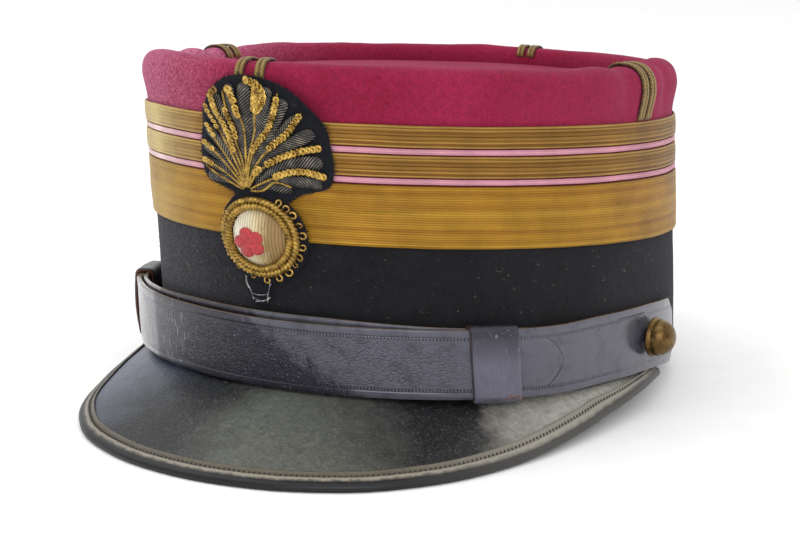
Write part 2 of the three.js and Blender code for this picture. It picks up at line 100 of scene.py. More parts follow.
def noise_of(vector, scale, detail, roughness=0.5, distortion=0.0, out=0):
    links = {"Vector": vector, "Scale": scale, "Detail": detail, "Roughness": roughness}
    return add(vector.id_data, "TexNoise", {**links, "Distortion": distortion}).outputs[out]


def ridges(along, pitch):
    """A wave from -1 to 1 along a coordinate, with its pitch in millimetres."""
    return maths("SINE", times(along, math.tau * 1000 / pitch))


def toned(value, stops):
    return add(value.id_data, "ValToRGB", {"Fac": value}, stops=stops).outputs[0]


def blend(share, low, high):
    return add(share.id_data, "Mix", {0: share, 6: low, 7: high}, data_type="RGBA").outputs[2]


def scaled(vector, factor):
    return add(vector.id_data, "VectorMath", {0: vector, "Scale": factor}, operation="SCALE").outputs[0]


def stretched(vector, scale):
    return add(vector.id_data, "Mapping", {"Vector": vector, "Scale": scale}).outputs[0]


def apart(vector):
    return add(vector.id_data, "SeparateXYZ", {0: vector}).outputs


def relief(height, strength, distance):
    links = {"Height": height, "Strength": strength, "Distance": distance}
    return add(height.id_data, "Bump", links).outputs[0]


def in_object(made):
    """A material's coordinates in its object, in metres."""
    return add(made.node_tree, "TexCoord").outputs["Object"]


def in_cut(made):
    """A material's coordinates on its piece's flat cut, in metres."""
    return add(made.node_tree, "UVMap").outputs[0]


def shader_socket(made, name):
    wanted = name.replace("_", " ").title().replace("Ior", "IOR")
    return made.node_tree.nodes["Principled BSDF"].inputs[wanted]


def surface(name, **shader):
    """A new material, with its shader's plain sockets set."""
    made = bpy.data.materials.new(name)
    made.use_nodes = True
    for socket, value in shader.items():
        shader_socket(made, socket).default_value = value
    return made


def finished(made, **links):
    """The material with its patterns linked to its shader."""
    for socket, value in links.items():
        made.node_tree.links.new(value, shader_socket(made, socket))
    return made


def mottled(name, dark, light, scale, detail, low, high, fine=0.5, raised=0.0, **shader):
    """A material in two tones, in soft clouds, that stand out by up to 0.2 mm if raised."""
    made = surface(name, **shader)
    cloud = noise_of(in_object(made), scale, detail, fine)
    links = {"normal": relief(cloud, raised, 0.0002)} if raised else {}
    return finished(made, base_color=toned(cloud, [(low, dark), (high, light)]), **links)


# ---- Studio: floor, light and camera ----
# A pale seamless floor under a white tent: wide soft lamps at both sides and above, and less
# light from the front, so that cloth keeps its depth and leather shows soft reflections.

FLOOR_SIZE = 12.0
TENT_STRENGTH = 1.0
# Tent brightness from the dark front (0) to the bright sides and back (1).
TENT_STOPS = [(0.0, 0.25), (0.3, 0.55), (0.6, 1.0), (1.0, 1.1)]
DARK_SIDE = Vector((-0.62, -0.75, 0.22))
LAMPS = [
    {"name": "lamp_left", "place": (-0.95, -0.65, 1.15), "size": 1.8, "watts": 15},
    {"name": "lamp_right", "place": (0.75, -1.2, 0.45), "size": 1.0, "watts": 8},
    {"name": "lamp_above", "place": (0.1, -0.1, 1.3), "size": 1.1, "watts": 2},
]
SHOT = {"turn": 28.29, "rise": 12.93, "roll": 0.44, "distance": 0.69305, "lens": 86.84}
LOOK_AT = Vector((-0.00645, 0.02015, 0.0364))

bpy.ops.mesh.primitive_grid_add(x_subdivisions=4, y_subdivisions=4, size=FLOOR_SIZE)
floor = bpy.context.object
floor.name = "studio_floor"
paper = surface("matt_white_paper", roughness=0.9)
grain = add(paper.node_tree, "TexNoise", {"Scale": 900.0, "Detail": 2.0}).outputs[0]
finished(paper, base_color=toned(grain, [(0.3, "#f9f9f9"), (0.7, "#fdfdfd")]))
floor.data.materials.append(paper)

world = bpy.data.worlds.new("white_tent")
world.use_nodes = True
bpy.context.scene.world = world
tree = world.node_tree
way = add(tree, "TexCoord")
facing = add(tree, "VectorMath", {0: way.outputs["Generated"], 1: DARK_SIDE}, operation="DOT_PRODUCT")
tent = toned(ramped(facing.outputs["Value"], 1.0, -0.2), TENT_STOPS)
tree.links.new(tent, tree.nodes["Background"].inputs["Color"])
tree.nodes["Background"].inputs["Strength"].default_value = TENT_STRENGTH

for lamp in LAMPS:
    light = bpy.data.lights.new(lamp["name"], "AREA")
    light.size = lamp["size"]
    light.energy = lamp["watts"]
    holder = bpy.data.objects.new(lamp["name"], light)
    holder.location = lamp["place"]
    holder.rotation_euler = (-Vector(lamp["place"])).to_track_quat("-Z", "Y").to_euler()
    bpy.context.collection.objects.link(holder)

turn, rise, roll = (math.radians(SHOT[angle]) for angle in ("turn", "rise", "roll"))
back = Vector((math.sin(turn) * math.cos(rise), -math.cos(turn) * math.cos(rise), math.sin(rise)))
level = Vector((math.cos(turn), math.sin(turn), 0))
upward = back.cross(level)
side = level * math.cos(roll) + upward * math.sin(roll)
top = upward * math.cos(roll) - level * math.sin(roll)
lens = bpy.data.cameras.new("camera")
lens.lens = SHOT["lens"]
lens.clip_start = 0.01
camera = bpy.data.objects.new("camera", lens)
facing_shot = Matrix((side, top, back)).transposed().to_4x4()
camera.matrix_world = Matrix.Translation(LOOK_AT + back * SHOT["distance"]) @ facing_shot
bpy.context.collection.objects.link(camera)
bpy.context.scene.camera = camera
bpy.context.scene.view_settings.view_transform = "Standard"

# ---- The hat's shape, and laying pieces on it ----
# Pieces are cut flat and laid round the hat by angle (0 at the front, + to the wearer's left),
# height above the mouth, and distance off the side. The hat is then tilted as it stands.

MOUTH = {"half_length": 100, "half_width": 88.6}
CROWN = {"half_length": 105.6, "half_width": 86, "forward": 17.2, "height": 94.9}
FRONT_NARROWING = 0.044
REST_TILT = math.radians(5.3)
FLATTENED = 0.35
GAP = 0.3
CLOTH = 2.2
SIDE_SEAM_HEIGHT = 60
MOUTH_ARCH = 3.6
MEAN_RADIUS = 93  # of the oval, for lengths round it
MILLIMETRES = Matrix.Scale(0.001, 4)
ROUND = 300  # steps round the hat

HAT_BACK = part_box("band")[1].y * 1000 - MOUTH["half_length"] * math.cos(REST_TILT)
HAT_LIFT = MOUTH["half_length"] * math.sin(REST_TILT) - FLATTENED


def mix(low, high, share):
    return low + (high - low) * share


def polar(degrees, reach=1):
    """A flat way at an angle: (across, up)."""
    return Vector((math.cos(math.radians(degrees)), math.sin(math.radians(degrees)))) * reach


def rounded_ends(share, power=10):
    """1 along a piece's length, falling to 0 close to its ends."""
    return math.sqrt(max(1 - (2 * share - 1) ** power, 0))


def step(place, low, high):
    """Rises smoothly from 0 at low to 1 at high."""
    share = min(max((place - low) / (high - low), 0), 1)
    return share * share * (3 - 2 * share)


def on_side(angle, height, off):
    """A point off the hat's side, in the tilted hat's own millimetres."""
    turn = math.radians(angle)
    rise = height / CROWN["height"]
    half_length = mix(MOUTH["half_length"], CROWN["half_length"], rise)
    half_width = mix(MOUTH["half_width"], CROWN["half_width"], rise)
    sine, cosine = math.sin(turn), math.cos(turn)
    outward = Vector((half_length * sine, -half_width * (cosine - FRONT_NARROWING * math.cos(2 * turn))))
    outward.normalize()
    across = half_width * sine * (1 - FRONT_NARROWING * cosine)
    along = -half_length * cosine - CROWN["forward"] * rise
    return Vector((across + outward.x * off, along + outward.y * off, height))


def in_row(point):
    """The same point in metres, with the hat tilted as it stands, and never under the surface."""
    sine, cosine = math.sin(REST_TILT), math.cos(REST_TILT)
    along = point.y * cosine + point.z * sine + HAT_BACK
    high = -point.y * sine + point.z * cosine + HAT_LIFT
    return Vector((point.x, along, max(high, 0))) / 1000


def lay(mesh, columns, rows, place, cut):
    """Adds a flat grid, gives it the cut's coordinates in metres, and lays it on the hat."""
    layer = mesh.loops.layers.uv.verify()
    made = bmesh.ops.create_grid(mesh, x_segments=columns, y_segments=rows, size=0.5)["verts"]
    for vert in made:
        u, v = vert.co.x + 0.5, vert.co.y + 0.5
        at = Vector(cut(u, v)) / 1000
        for loop in vert.link_loops:
            loop[layer].uv = at
        vert.co = in_row(place(u, v))
    bmesh.ops.remove_doubles(mesh, verts=made, dist=2e-6)


def piece(name, mesh, finish, slot, *nodes):
    """The finished object: normals out, smooth, with its finish, riding on the hat."""
    bmesh.ops.recalc_face_normals(mesh, faces=mesh.faces)
    for face in mesh.faces:
        face.smooth = True
    data = bpy.data.meshes.new(name)
    mesh.to_mesh(data)
    mesh.free()
    made = bpy.data.objects.new(name, data)
    bpy.context.collection.objects.link(made)
    data.materials.append(finish)
    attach(made, "root")
    if nodes:
        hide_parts(*nodes)
    return made


def laid_piece(name, columns, rows, place, cut, finish, slot, *nodes):
    """A piece that is one grid, laid on the hat."""
    mesh = bmesh.new()
    lay(mesh, columns, rows, place, cut)
    return piece(name, mesh, finish, slot, *nodes)


def round_cut(u, v, tall):
    """The cut's coordinates of a piece that goes all the way round."""
    return circumference(angle_at(u)), v * tall


def runs_of(points):
    """How far along a line each of its points is."""
    runs = [0]
    for before, after in zip(points, points[1:]):
        runs.append(runs[-1] + (after - before).length)
    return runs


def lie_of(points):
    """A line through points, as a function from the share of its length to the point on it."""
    points = [Vector(point) for point in points]
    runs = runs_of(points)

    def at(share):
        along = share * runs[-1]
        following = next((i for i, run in enumerate(runs) if run >= along and i), len(runs) - 1)
        span = max(runs[following] - runs[following - 1], 1e-9)
        return points[following - 1].lerp(points[following], (along - runs[following - 1]) / span)

    at.length = runs[-1]
    return at


def lumps(point, size, seed=0):
    """Soft unevenness from -1 to 1, with lumps of the given size in millimetres."""
    return noise.noise(Vector(point) / size + Vector((seed * 7.3, seed * 3.1, seed)))


def circumference(angle):
    """Millimetres round the hat from the front to an angle."""
    return math.radians(angle) * MEAN_RADIUS


def angle_at(share):
    """The angle at a share of the way round the hat, from the back by the wearer's right."""
    return share * 360 - 180


def arched(angle, height):
    share = 1 - height / SIDE_SEAM_HEIGHT
    return height + MOUTH_ARCH * math.sin(math.radians(angle)) ** 2 * share


# ---- Band: black wool cloth ----
# The lower part of the side, fulled black wool over a stiffener, seamed to the crimson cloth
# under the lace, with an arched lower edge and slight lumps where the stiffener has given way.


def wool(name, deep, light, sheen, tint, fuzz, lit_side_tone, sheen_and_dust_share):
    """Fulled wool: felted fibres that hide the weave, raised nap, lint, and painted sheen with some dust on
    one side.
    """
    made = surface(
        name, roughness=0.95, specular_ior_level=0.25, sheen_weight=sheen, sheen_roughness=0.45,
        sheen_tint=colour(tint),
    )
    place = in_object(made)
    # Felted tufts about 1 mm across, and single fibres drawn at 0.35 mm, coarser than real ones.
    tufts = noise_of(place, 420.0, 5.0, 0.7)
    clouds = noise_of(place, 38.0, 4.0)
    fibres = noise_of(place, 2400.0, 3.0, distortion=1.2)
    tone = toned(times(maths("ADD", tufts, clouds), 0.5), [(0.38, deep), (0.62, light)])
    # The raised ends of the fibres: a paler grain about 0.7 mm across.
    grain = noise_of(place, 1100.0, 2.0, 0.6)
    napped = scaled(tone, ramped(grain, *SPREAD, 0.8, 1.22))
    # Painted sheen and light, with some real dust, on the lit wearer's right, at the front, and less toward
    # the back.
    across, along, _ = apart(place)
    ahead = ramped(along, 0.08, -0.03, interpolation_type="SMOOTHSTEP")
    dust_and_sheen = times(ramped(across, -0.095, 0.0, sheen_and_dust_share, 0.0), ahead, ramped(grain, 0.35, 0.7, 0.15, 0.95))
    lit_side_paled = blend(dust_and_sheen, napped, colour(lit_side_tone))
    # Lint caught in the nap: sparse pale specks.
    lint = toned(noise_of(place, 950.0, 2.0, distortion=2.0), [(0.70, 0.0), (0.80, 1.0)])
    cloth = blend(times(lint, fuzz), lit_side_paled, colour("#b9a9a6"))
    return finished(made, base_color=cloth, normal=relief(maths("ADD", tufts, fibres), 0.4, 0.0008))


black_wool = wool("fulled_black_wool", "#0b0a0d", "#18171b", 0.07, "#c9c9d6", 0.2, "#6c6b70", 0.8)

BAND_TOP = SIDE_SEAM_HEIGHT - GAP
band_cut = lie_of(
    [(0, 1.1), (0, 20), (0, 40), (0, BAND_TOP), (-CLOTH, BAND_TOP), (-CLOTH, 30), (-CLOTH, 1), (-1.9, 0.3)]
    + [(-1.1, 0), (-0.3, 0.25), (0, 1.1)]
)


def on_band(u, v):
    angle = angle_at(u)
    off, height = band_cut(v)
    at = on_side(angle, arched(angle, height), off)
    return on_side(angle, arched(angle, height), off + 0.22 * lumps(at, 26) + 0.06 * lumps(at, 5))


laid_piece(
    "wool_band", ROUND, 72, on_band, lambda u, v: round_cut(u, v, band_cut.length), black_wool, "black_wool",
    "band",
)

# ---- Crown: crimson wool, rolled at the rim, with a sunken top ----
# Crimson cloth sewn to the band, padded and rolled over a cane at the rim, and joined inside
# the roll to a sunken oval top. Age has pulled the roll into small puckers near the braid.

RIM = {"centre": -5.4, "height": 96, "out": 6.6, "up": 7.6, "inner": 5.2, "swing": 1.2, "end": 1.9}
RIM_SQUARENESS = 0.8
CROWN_DIP = {"angle": -72, "half": 45, "depth": 2.4}
TOP_SUNK_TO = 97.2
TOP_CLOTH = 2.4
# Puckers in the roll: angle, half width in degrees, and millimetres out (+) or in (-).
PUCKERS = [
    (96.5, 3.5, 0.7), (101, 2.2, -0.9), (109, 6, 1.1), (83.5, 2.2, -0.7), (73, 6, 0.35), (78, 3, 0.4),
    (-4, 3, -0.3), (40, 9, 0.3), (-38, 6, 0.4), (-49, 3, -0.5), (128, 6, -0.5), (150, 9, 0.5),
    (-86, 2, -1.6), (-80, 3, 0.9), (-76, 1.6, -1.0), (-97, 3, -0.7), (-110, 6, 0.5), (-140, 7, -0.4),
    (-165, 5, 0.4),
]

# How far age has lifted (+) or sunk (-) the rim, by angle.
RIM_LIFT = [
    (-180, 0.85), (-168, 0.7), (-155, 0.3), (-140, 0), (-125, -0.6), (-110, -1.25), (-95, -0.8),
    (-80, -1), (-65, 0), (-50, 0.4), (-25, 0.2), (0, 0), (20, 0.6), (50, 0.65), (68, 0.2), (80, 1),
    (95, 1.7), (110, 2.1), (120, 1.7), (132, 0.8), (150, 0.6), (180, 0.85),
]


def linear_at(rows, place, column):
    """A table's column at a place between its rows."""
    after = next((i for i, row in enumerate(rows) if row[0] >= place), len(rows) - 1)
    before = max(after - 1, 0)
    if after == before:
        return rows[after][column]
    share = min((place - rows[before][0]) / (rows[after][0] - rows[before][0]), 1)
    return mix(rows[before][column], rows[after][column], share)


def eased_at(rows, place, column, reach=4):
    """The same, with the table's corners rounded off over a short way either side."""
    return sum(linear_at(rows, place + d * reach, column) * w for d, w in ((-1, 0.25), (0, 0.5), (1, 0.25)))


def crown_dip(angle):
    away = min(abs(angle - CROWN_DIP["angle"]) / CROWN_DIP["half"], 1)
    return CROWN_DIP["depth"] * math.cos(away * math.pi / 2) ** 2


def crown_height(angle, height):
    share = step(height, SIDE_SEAM_HEIGHT, RIM["height"])
    lift = eased_at(RIM_LIFT, angle, 1, 5) * share**3
    return height + lift - (RIM["swing"] * math.cos(math.radians(angle)) + crown_dip(angle)) * share


def on_rim(share):
    """The roll's outside from its fullest part (0) over the top (1) to the inside (2)."""
    turn = share * math.pi / 2
    half = RIM["out"] if share < 1 else RIM["inner"]
    sine, cosine = math.sin(turn), math.cos(turn)
    out = math.copysign(abs(cosine) ** RIM_SQUARENESS, cosine)
    return RIM["centre"] + half * out, RIM["height"] + RIM["up"] * abs(sine) ** RIM_SQUARENESS


def pucker(angle):
    total = 0
    for at, half, depth in PUCKERS:
        away = (angle - at + 180) % 360 - 180
        total += depth * math.exp(-((away / half) ** 2))
    return total


crimson_wool = wool("fulled_crimson_wool", "#7a102f", "#89193e", 0.12, "#ffa6d8", 0.12, "#dc92b4", 1.0)
roll = [on_rim(i / 20 * RIM["end"]) for i in range(21)]
ROLL_FOOT = RIM["height"] - RIM["up"]
crown_cut = lie_of(
    [(0, SIDE_SEAM_HEIGHT), (0, 76), (0, ROLL_FOOT - 1.4), (0.25, ROLL_FOOT + 1.6)]
    + roll
    + [(roll[-1][0], TOP_SUNK_TO - TOP_CLOTH), (RIM["centre"], RIM["height"] - CLOTH)]
    + [(-CLOTH, ROLL_FOOT), (-CLOTH, SIDE_SEAM_HEIGHT), (0, SIDE_SEAM_HEIGHT)]
)


def on_crown(u, v):
    angle = angle_at(u)
    off, height = crown_cut(v)
    full = step(height, 84, 96) * step(off, -15, -4)
    turn = math.atan2(max(height - RIM["height"], 0) / RIM["up"], (off - RIM["centre"]) / RIM["out"])
    at = on_side(angle, height, off)
    swell = full * (pucker(angle) + 0.35 * lumps(at, 17, 2) + 0.1 * lumps(at, 5, 3)) + 0.12 * lumps(at, 30)
    height += swell * math.sin(turn)
    return on_side(angle, crown_height(angle, height), off + swell * math.cos(turn))


laid_piece(
    "rolled_crown", 420, 96, on_crown, lambda u, v: round_cut(u, v, crown_cut.length), crimson_wool,
    "crimson_wool", "crown_side",
)

TOP_EDGE = on_rim(RIM["end"])[0] - GAP
top_cut = lie_of([(0, 0), (0.5, 0), (0.9, 0), (1, 0.1), (1, 0.9), (0.985, 1), (0.9, 1), (0.5, 1), (0, 1)])


def on_top(u, v):
    angle = angle_at(u)
    share, upper = top_cut(v)
    height = TOP_SUNK_TO - TOP_CLOTH * (1 - upper)
    middle = Vector((0, -CROWN["forward"] * height / CROWN["height"], height))
    edge = on_side(angle, crown_height(angle, height), TOP_EDGE)
    at = middle.lerp(edge, share)
    hollow = -0.9 * (1 - share**2) * upper
    at.z += hollow + 0.35 * lumps(at, 30, 4) * (1 - share**8)
    return at


laid_piece(
    "sunken_top", 240, 60, on_top, lambda u, v: round_cut(u, v, 2 * MOUTH["half_length"]), crimson_wool,
    "crimson_wool", "crown_top",
)

# ---- Rank lace and silk stripes ----
# Flat woven metallic lace, one wide and two narrow rows with pink silk between them, sewn
# round the side over the seam. Ribbed lengthways, it shows bands of worn and bright thread.

LACE = {"low": 47.8, "front": 85.7, "back": 89, "thickness": 0.8, "dip": 0.8}
LACE_ROWS = [
    {"name": "lace_wide", "low": 0, "high": 0.52},
    {"name": "lace_middle", "low": 0.575, "high": 0.76},
    {"name": "lace_top", "low": 0.815, "high": 1},
]
SILK_ROWS = [
    {"name": "silk_stripe_lower", "low": 0.52, "high": 0.575},
    {"name": "silk_stripe_upper", "low": 0.76, "high": 0.815},
]


def lace_height(angle, share):
    middle, swing = (LACE["front"] + LACE["back"]) / 2, (LACE["front"] - LACE["back"]) / 2
    top = middle + swing * math.cos(math.radians(angle)) - LACE["dip"] * crown_dip(angle)
    return mix(LACE["low"], top, share)


def woven(name, stripes, height, ribs, picks, metal, spread, lit_side_tone, aged=(1, 1, 1)):
    """Woven trim: lengthwise stripes of tone across its height, cross ribs, single threads, and a
    painted highlight toward the wearer's right, where the light falls."""
    made = surface(name, metallic=metal, roughness=0.5, specular_ior_level=0.2)
    cut = in_cut(made)
    along, across, _ = apart(cut)
    # Threads run lengthways: streaks 0.35 mm high and centimetres long, over ridges 0.75 mm apart.
    streaks = noise_of(stretched(cut, (22.0, 2600.0, 1.0)), 1.0, 3.0, 0.6)
    worn = noise_of(cut, 45.0, 4.0, 0.6)
    shift = ramped(streaks, 0.25, 0.75, -spread, spread)
    fresh = toned(maths("ADD", ramped(across, 0.0, height / 1000), shift), stripes)
    tone = add(fresh.id_data, "VectorMath", {0: fresh, 1: aged}, operation="MULTIPLY").outputs[0]
    ridge = ridges(across, 0.75)
    lined = times(ramped(ridge, -1.0, 1.0, 0.8, 1.12), ramped(worn, *SPREAD, 0.7, 1.16))
    # Picks of the weave cross the ridges as a faint dotting.
    picking = {"Vector": stretched(cut, (ribs, 900.0, 1.0)), "Scale": 0.159, "Distortion": 1.0, "Detail": 1.0}
    weft = add(cut.id_data, "TexWave", picking).outputs[1]
    picked = scaled(scaled(tone, lined), ramped(weft, 0.0, 1.0, 1 - picks, 1 + picks / 2))
    # Painted highlight on the lit wearer's right: paler from about 12 to 120 degrees round, fullest from 34
    # to 80, in patches.
    share = times(ramped(along, -0.02, -0.055), ramped(along, -0.2, -0.13), worn)
    lit_side_paled = blend(share, picked, colour(lit_side_tone))
    return finished(made, base_color=lit_side_paled, normal=relief(maths("ADD", streaks, ridge), 0.4, 0.00012))


# The wide lace's tones as woven, and the shares of red, green and blue that age has left of them.
WIDE_STRIPES = [
    (0.0, "#8f6a24"), (0.04, "#c29a45"), (0.10, "#a67c30"), (0.2, "#b98d3a"), (0.28, "#9c7029"),
    (0.33, "#b98f3c"), (0.45, "#a97e31"), (0.55, "#bd9541"), (0.64, "#a3772c"), (0.78, "#b58a39"),
    (0.86, "#986c27"), (0.93, "#b48936"), (1.0, "#7d5a20"),
]
WIDE_AGED = (0.759, 0.69, 0.42)
NARROW_STRIPES = [
    (0.0, "#5f3f14"), (0.06, "#ad8945"), (0.12, "#603f10"), (0.2, "#7b531c"), (0.26, "#a27b39"),
    (0.33, "#6b4717"), (0.42, "#997231"), (0.5, "#62410f"), (0.6, "#8a6126"), (0.68, "#5e3e12"),
    (0.76, "#9f7837"), (0.84, "#6c4817"), (0.92, "#b18d49"), (1.0, "#5a3a11"),
]
SILK_STRIPES = [(0.0, "#a4707a"), (0.25, "#c88d9c"), (0.75, "#c48897"), (1.0, "#9c6872")]
LACE_HEIGHT = LACE["front"] - LACE["low"]
gold_lace = woven(
    "woven_gold_lace", WIDE_STRIPES, 0.52 * LACE_HEIGHT, 5200.0, 0.07, 0.4, 0.03, "#b59a50", WIDE_AGED
)
narrow_lace = woven(
    "woven_narrow_gold_lace", NARROW_STRIPES, 0.185 * LACE_HEIGHT, 5200.0, 0.09, 0.4, 0.035, "#dcc98a"
)
silk = woven("pink_silk_rep", SILK_STRIPES, 0.055 * LACE_HEIGHT, 4200.0, 0.16, 0.0, 0.05, "#f0e4dc")


def ridge_at(height, middle, half):
    """A rounded ridge about a height, 1 at its middle."""
    return math.exp(-(((height - middle) / half) ** 2))


def trim_ring(row, finish, slot, lift, rows):
    """A closed ring of trim: a thin section with rounded edges, slightly wavy where it is sewn."""
    half = GAP / 2 / LACE_HEIGHT
    low, high = row["low"] + half, row["high"] - half
    inner, outer = GAP, GAP + LACE["thickness"] + lift
    tall = (high - low) * LACE_HEIGHT
    bevel, edge = mix(inner, outer, 0.6), 0.175
    section = lie_of(
        [(0, inner, 0), (0, bevel, 0), (edge, outer, 0), (tall * 0.5, outer + 0.15, 0)]
        + [(tall - edge, outer, 0), (tall, bevel, 0), (tall, inner, 0), (0, inner, 0)]
    )

    def place(u, v):
        angle = angle_at(u)
        up, off, _ = section(v)
        height = lace_height(angle, low + up / LACE_HEIGHT)
        at = on_side(angle, height, off)
        loose = step(off, GAP, outer)
        wave = 0.16 * lumps((at.x, at.y, at.z * 2.2), 15, 5) + 0.05 * lumps(at, 4, 6)
        if row["name"] == "lace_wide":
            arc = circumference(angle)
            # Pressed into a long crease with a fold over it, beside the badge.
            crease = ridge_at(height, 57.2 + 0.05 * (arc - 20), 0.9) * step(arc, 12, 20)
            fold = ridge_at(height, 60.2 - 0.02 * (arc - 20), 0.7) * step(arc, 12, 18)
            wave += 0.35 * fold * (1 - step(arc, 40, 60)) - 0.4 * crease * (1 - step(arc, 55, 80))
        return on_side(angle, height + 0.12 * lumps(at, 12, 8), off + loose * wave)

    def cut(u, v):
        return circumference(angle_at(u)), section(v)[0]

    laid_piece("trim_" + row["name"], ROUND, rows, place, cut, finish, slot, row["name"])


for row in LACE_ROWS:
    wide = row["name"] == "lace_wide"
    trim_ring(row, gold_lace if wide else narrow_lace, "gold_lace", 0, 70 if wide else 36)
for row in SILK_ROWS:
    trim_ring(row, silk, "pink_silk", -0.25, 20)

# ---- Narrow braid over the rim ----
# Soutache: two plaited cords of dull gold thread side by side, sewn in pairs up the side at the
# front, back and both sides, and turned over the roll. Their lower ends lie under the badge and
# lace; over the bulging roll they stand a little proud and bow apart.

BRAID = {"width": 3.3, "thick": 0.85, "off": 0.3, "bottom": 86.6, "over_rim": 18.2, "rim_end": 1.72}
BRAID_PAIRS = [
    {"name": "front", "angle": 1.4, "spacing": 7, "bow": 0},
    {"name": "left", "angle": 89.5, "spacing": 4.4, "bow": 1.6},
    {"name": "back", "angle": 180, "spacing": 4.6, "bow": 0.6},
    {"name": "right", "angle": -92, "spacing": 4.4, "bow": -0.8},
]
DEGREES_PER_MM = math.degrees(1 / (CROWN["half_width"] * (1 - FRONT_NARROWING)))
PLAIT = 0.85  # millimetres from one crossing of the plait to the next

# Plaited metal thread: slanting strands, dark in the gaps and bright on top.
dull_gold = surface(
    "plaited_dull_gold_thread", metallic=0.35, roughness=0.5, specular_ior_level=0.4, sheen_weight=0.1
)
cut = in_cut(dull_gold)
along, across, _ = apart(cut)
# Each braid is two cords; the strands of each meet in a chevron along its middle.
cord_middle = BRAID["width"] / 4000
beside = maths("ABSOLUTE", maths("SUBTRACT", maths("ABSOLUTE", across), cord_middle))
strands = ramped(ridges(maths("ADD", along, beside), PLAIT), -1.0, 1.0, 0.1, 0.6)
# Dark down the groove between the cords and at both edges.
groove = ramped(beside, 0.0003, cord_middle, 0.0, -0.55)
mixed = maths("ADD", maths("ADD", strands, groove), noise_of(cut, 1600.0, 3.0))
tone = toned(mixed, [(0.35, "#3d2d12"), (0.95, "#94783f")])
finished(dull_gold, base_color=tone, normal=relief(mixed, 0.6, 0.0003))


def braid_way(share):
    """Up the side and over the roll, as distance off the side and height."""
    straight = RIM["height"] - BRAID["bottom"]
    along = share * (straight + BRAID["over_rim"])
    if along > straight:
        return on_rim((along - straight) / BRAID["over_rim"] * BRAID["rim_end"])
    return on_rim(0)[0] * step(along, 0, straight), BRAID["bottom"] + along


def braid(pair, which):
    angle = pair["angle"] + which * pair["spacing"] / 2 * DEGREES_PER_MM
    half, thick = BRAID["width"] / 2, BRAID["thick"]
    cord_profile = [(0.96, 0.55), (0.8, 0.9), (0.5, 1), (0.2, 0.85), (0.03, 0.5)]
    ribs = [(-half, 0.1)] + [(-half * x, thick * h) for x, h in cord_profile]
    ribs += [(half * x, thick * h) for x, h in reversed(cord_profile)]
    section = lie_of([(*corner, 0) for corner in ribs + [(half, 0.1), (0, 0), (-half, 0.1)]])
    length = RIM["height"] - BRAID["bottom"] + BRAID["over_rim"]

    def place(u, v):
        x, out, _ = section(v)
        off, height = braid_way(u)
        off_next, height_next = braid_way(u + 0.01)
        way = Vector((off_next - off, height_next - height)).normalized()
        out = BRAID["off"] + out * min(u * 40, (1 - u) * 40, 1)
        bow = pair["bow"] * math.sin(min(u * 1.25, 1) * math.pi)
        at = angle + (x + bow) * DEGREES_PER_MM
        swell = step(height, 84, 96) * pucker(at) * (1 if off > RIM["centre"] else 0.3)
        lies = crown_height(angle, height - way.x * out)
        return on_side(at, lies + swell * max(-way.x, 0), off + way.y * out + swell * max(way.y, 0))

    def cut(u, v):
        return u * length, section(v)[0]

    name = f"{pair['name']}_{1 if which < 0 else 2}"
    laid_piece("braid_" + name, 60, 30, place, cut, dull_gold, "gold_braid", "soutache_" + name)


for pair in BRAID_PAIRS:
    braid(pair, -1)
    braid(pair, 1)

# ---- Badge: backing ----
# A flame over a ball on dark blue-black felt, a pad with softly rounded edges. Its outline is
# a polar one about the flame's middle, joined to a circle round the ball.

BADGE = {"backing": 1.6, "over_lace": 1.5, "over_braid": 3.3, "from": 81.6, "to": 87.6, "lip": 1.9}
FLAME = {"x": 3, "y": 68}
FLAME_REACH = [
    (0, 22.3), (24, 24.6), (38, 27.0), (52, 27.9), (66, 29.2), (80, 30), (96, 30.4), (106, 30),
    (118, 28.2), (134, 24.8), (154, 22.4), (170, 20.9), (183, 19.8), (190, 18), (198, 14.2),
    (210, 11.4), (240, 9.8), (270, 9.5), (305, 10.5), (328, 12.2), (339, 13.9), (347, 17.2),
    (353, 20.9),
]
BALL = {"x": 2.2, "y": 48.6, "radius": 12.6, "disc": 9.0, "dome": 2.7}


def badge_seat(height):
    return mix(BADGE["over_lace"], BADGE["over_braid"], step(height, BADGE["from"], BADGE["to"]))


def on_badge(x, y, off):
    """A point on the badge: millimetres to the wearer's left, height, and off its seat."""
    return on_side(x * DEGREES_PER_MM, y, badge_seat(y) + off)


def flame_reach(turn):
    """The reach by direction, on a smooth closed line through the table's rows."""
    rows = [(at - 360, reach) for at, reach in FLAME_REACH[-2:]] + FLAME_REACH
    rows += [(at + 360, reach) for at, reach in FLAME_REACH[:3]]
    after = next(i for i in range(2, len(rows)) if rows[i][0] >= turn)
    (x0, y0), (x1, y1), (x2, y2), (x3, y3) = rows[after - 2 : after + 2]
    share = (turn - x1) / (x2 - x1)
    slope_in = (y2 - y0) / (x2 - x0) * (x2 - x1)
    slope_out = (y3 - y1) / (x3 - x1) * (x2 - x1)
    cube, square = share**3, share**2
    start = (2 * cube - 3 * square + 1) * y1 + (cube - 2 * square + share) * slope_in
    return start + (3 * square - 2 * cube) * y2 + (cube - square) * slope_out


def ball_reach(turn, radius):
    way = polar(turn)
    to_ball = Vector((BALL["x"] - FLAME["x"], BALL["y"] - FLAME["y"]))
    along = way.dot(to_ball)
    aside = to_ball.length_squared - along * along
    return along + math.sqrt(radius * radius - aside) if aside < radius * radius and along > 0 else 0


badge_felt = wool("blue_black_badge_felt", "#07080c", "#11131a", 0.1, "#8c93b8", 0.14, "#3a4256", 0.0)


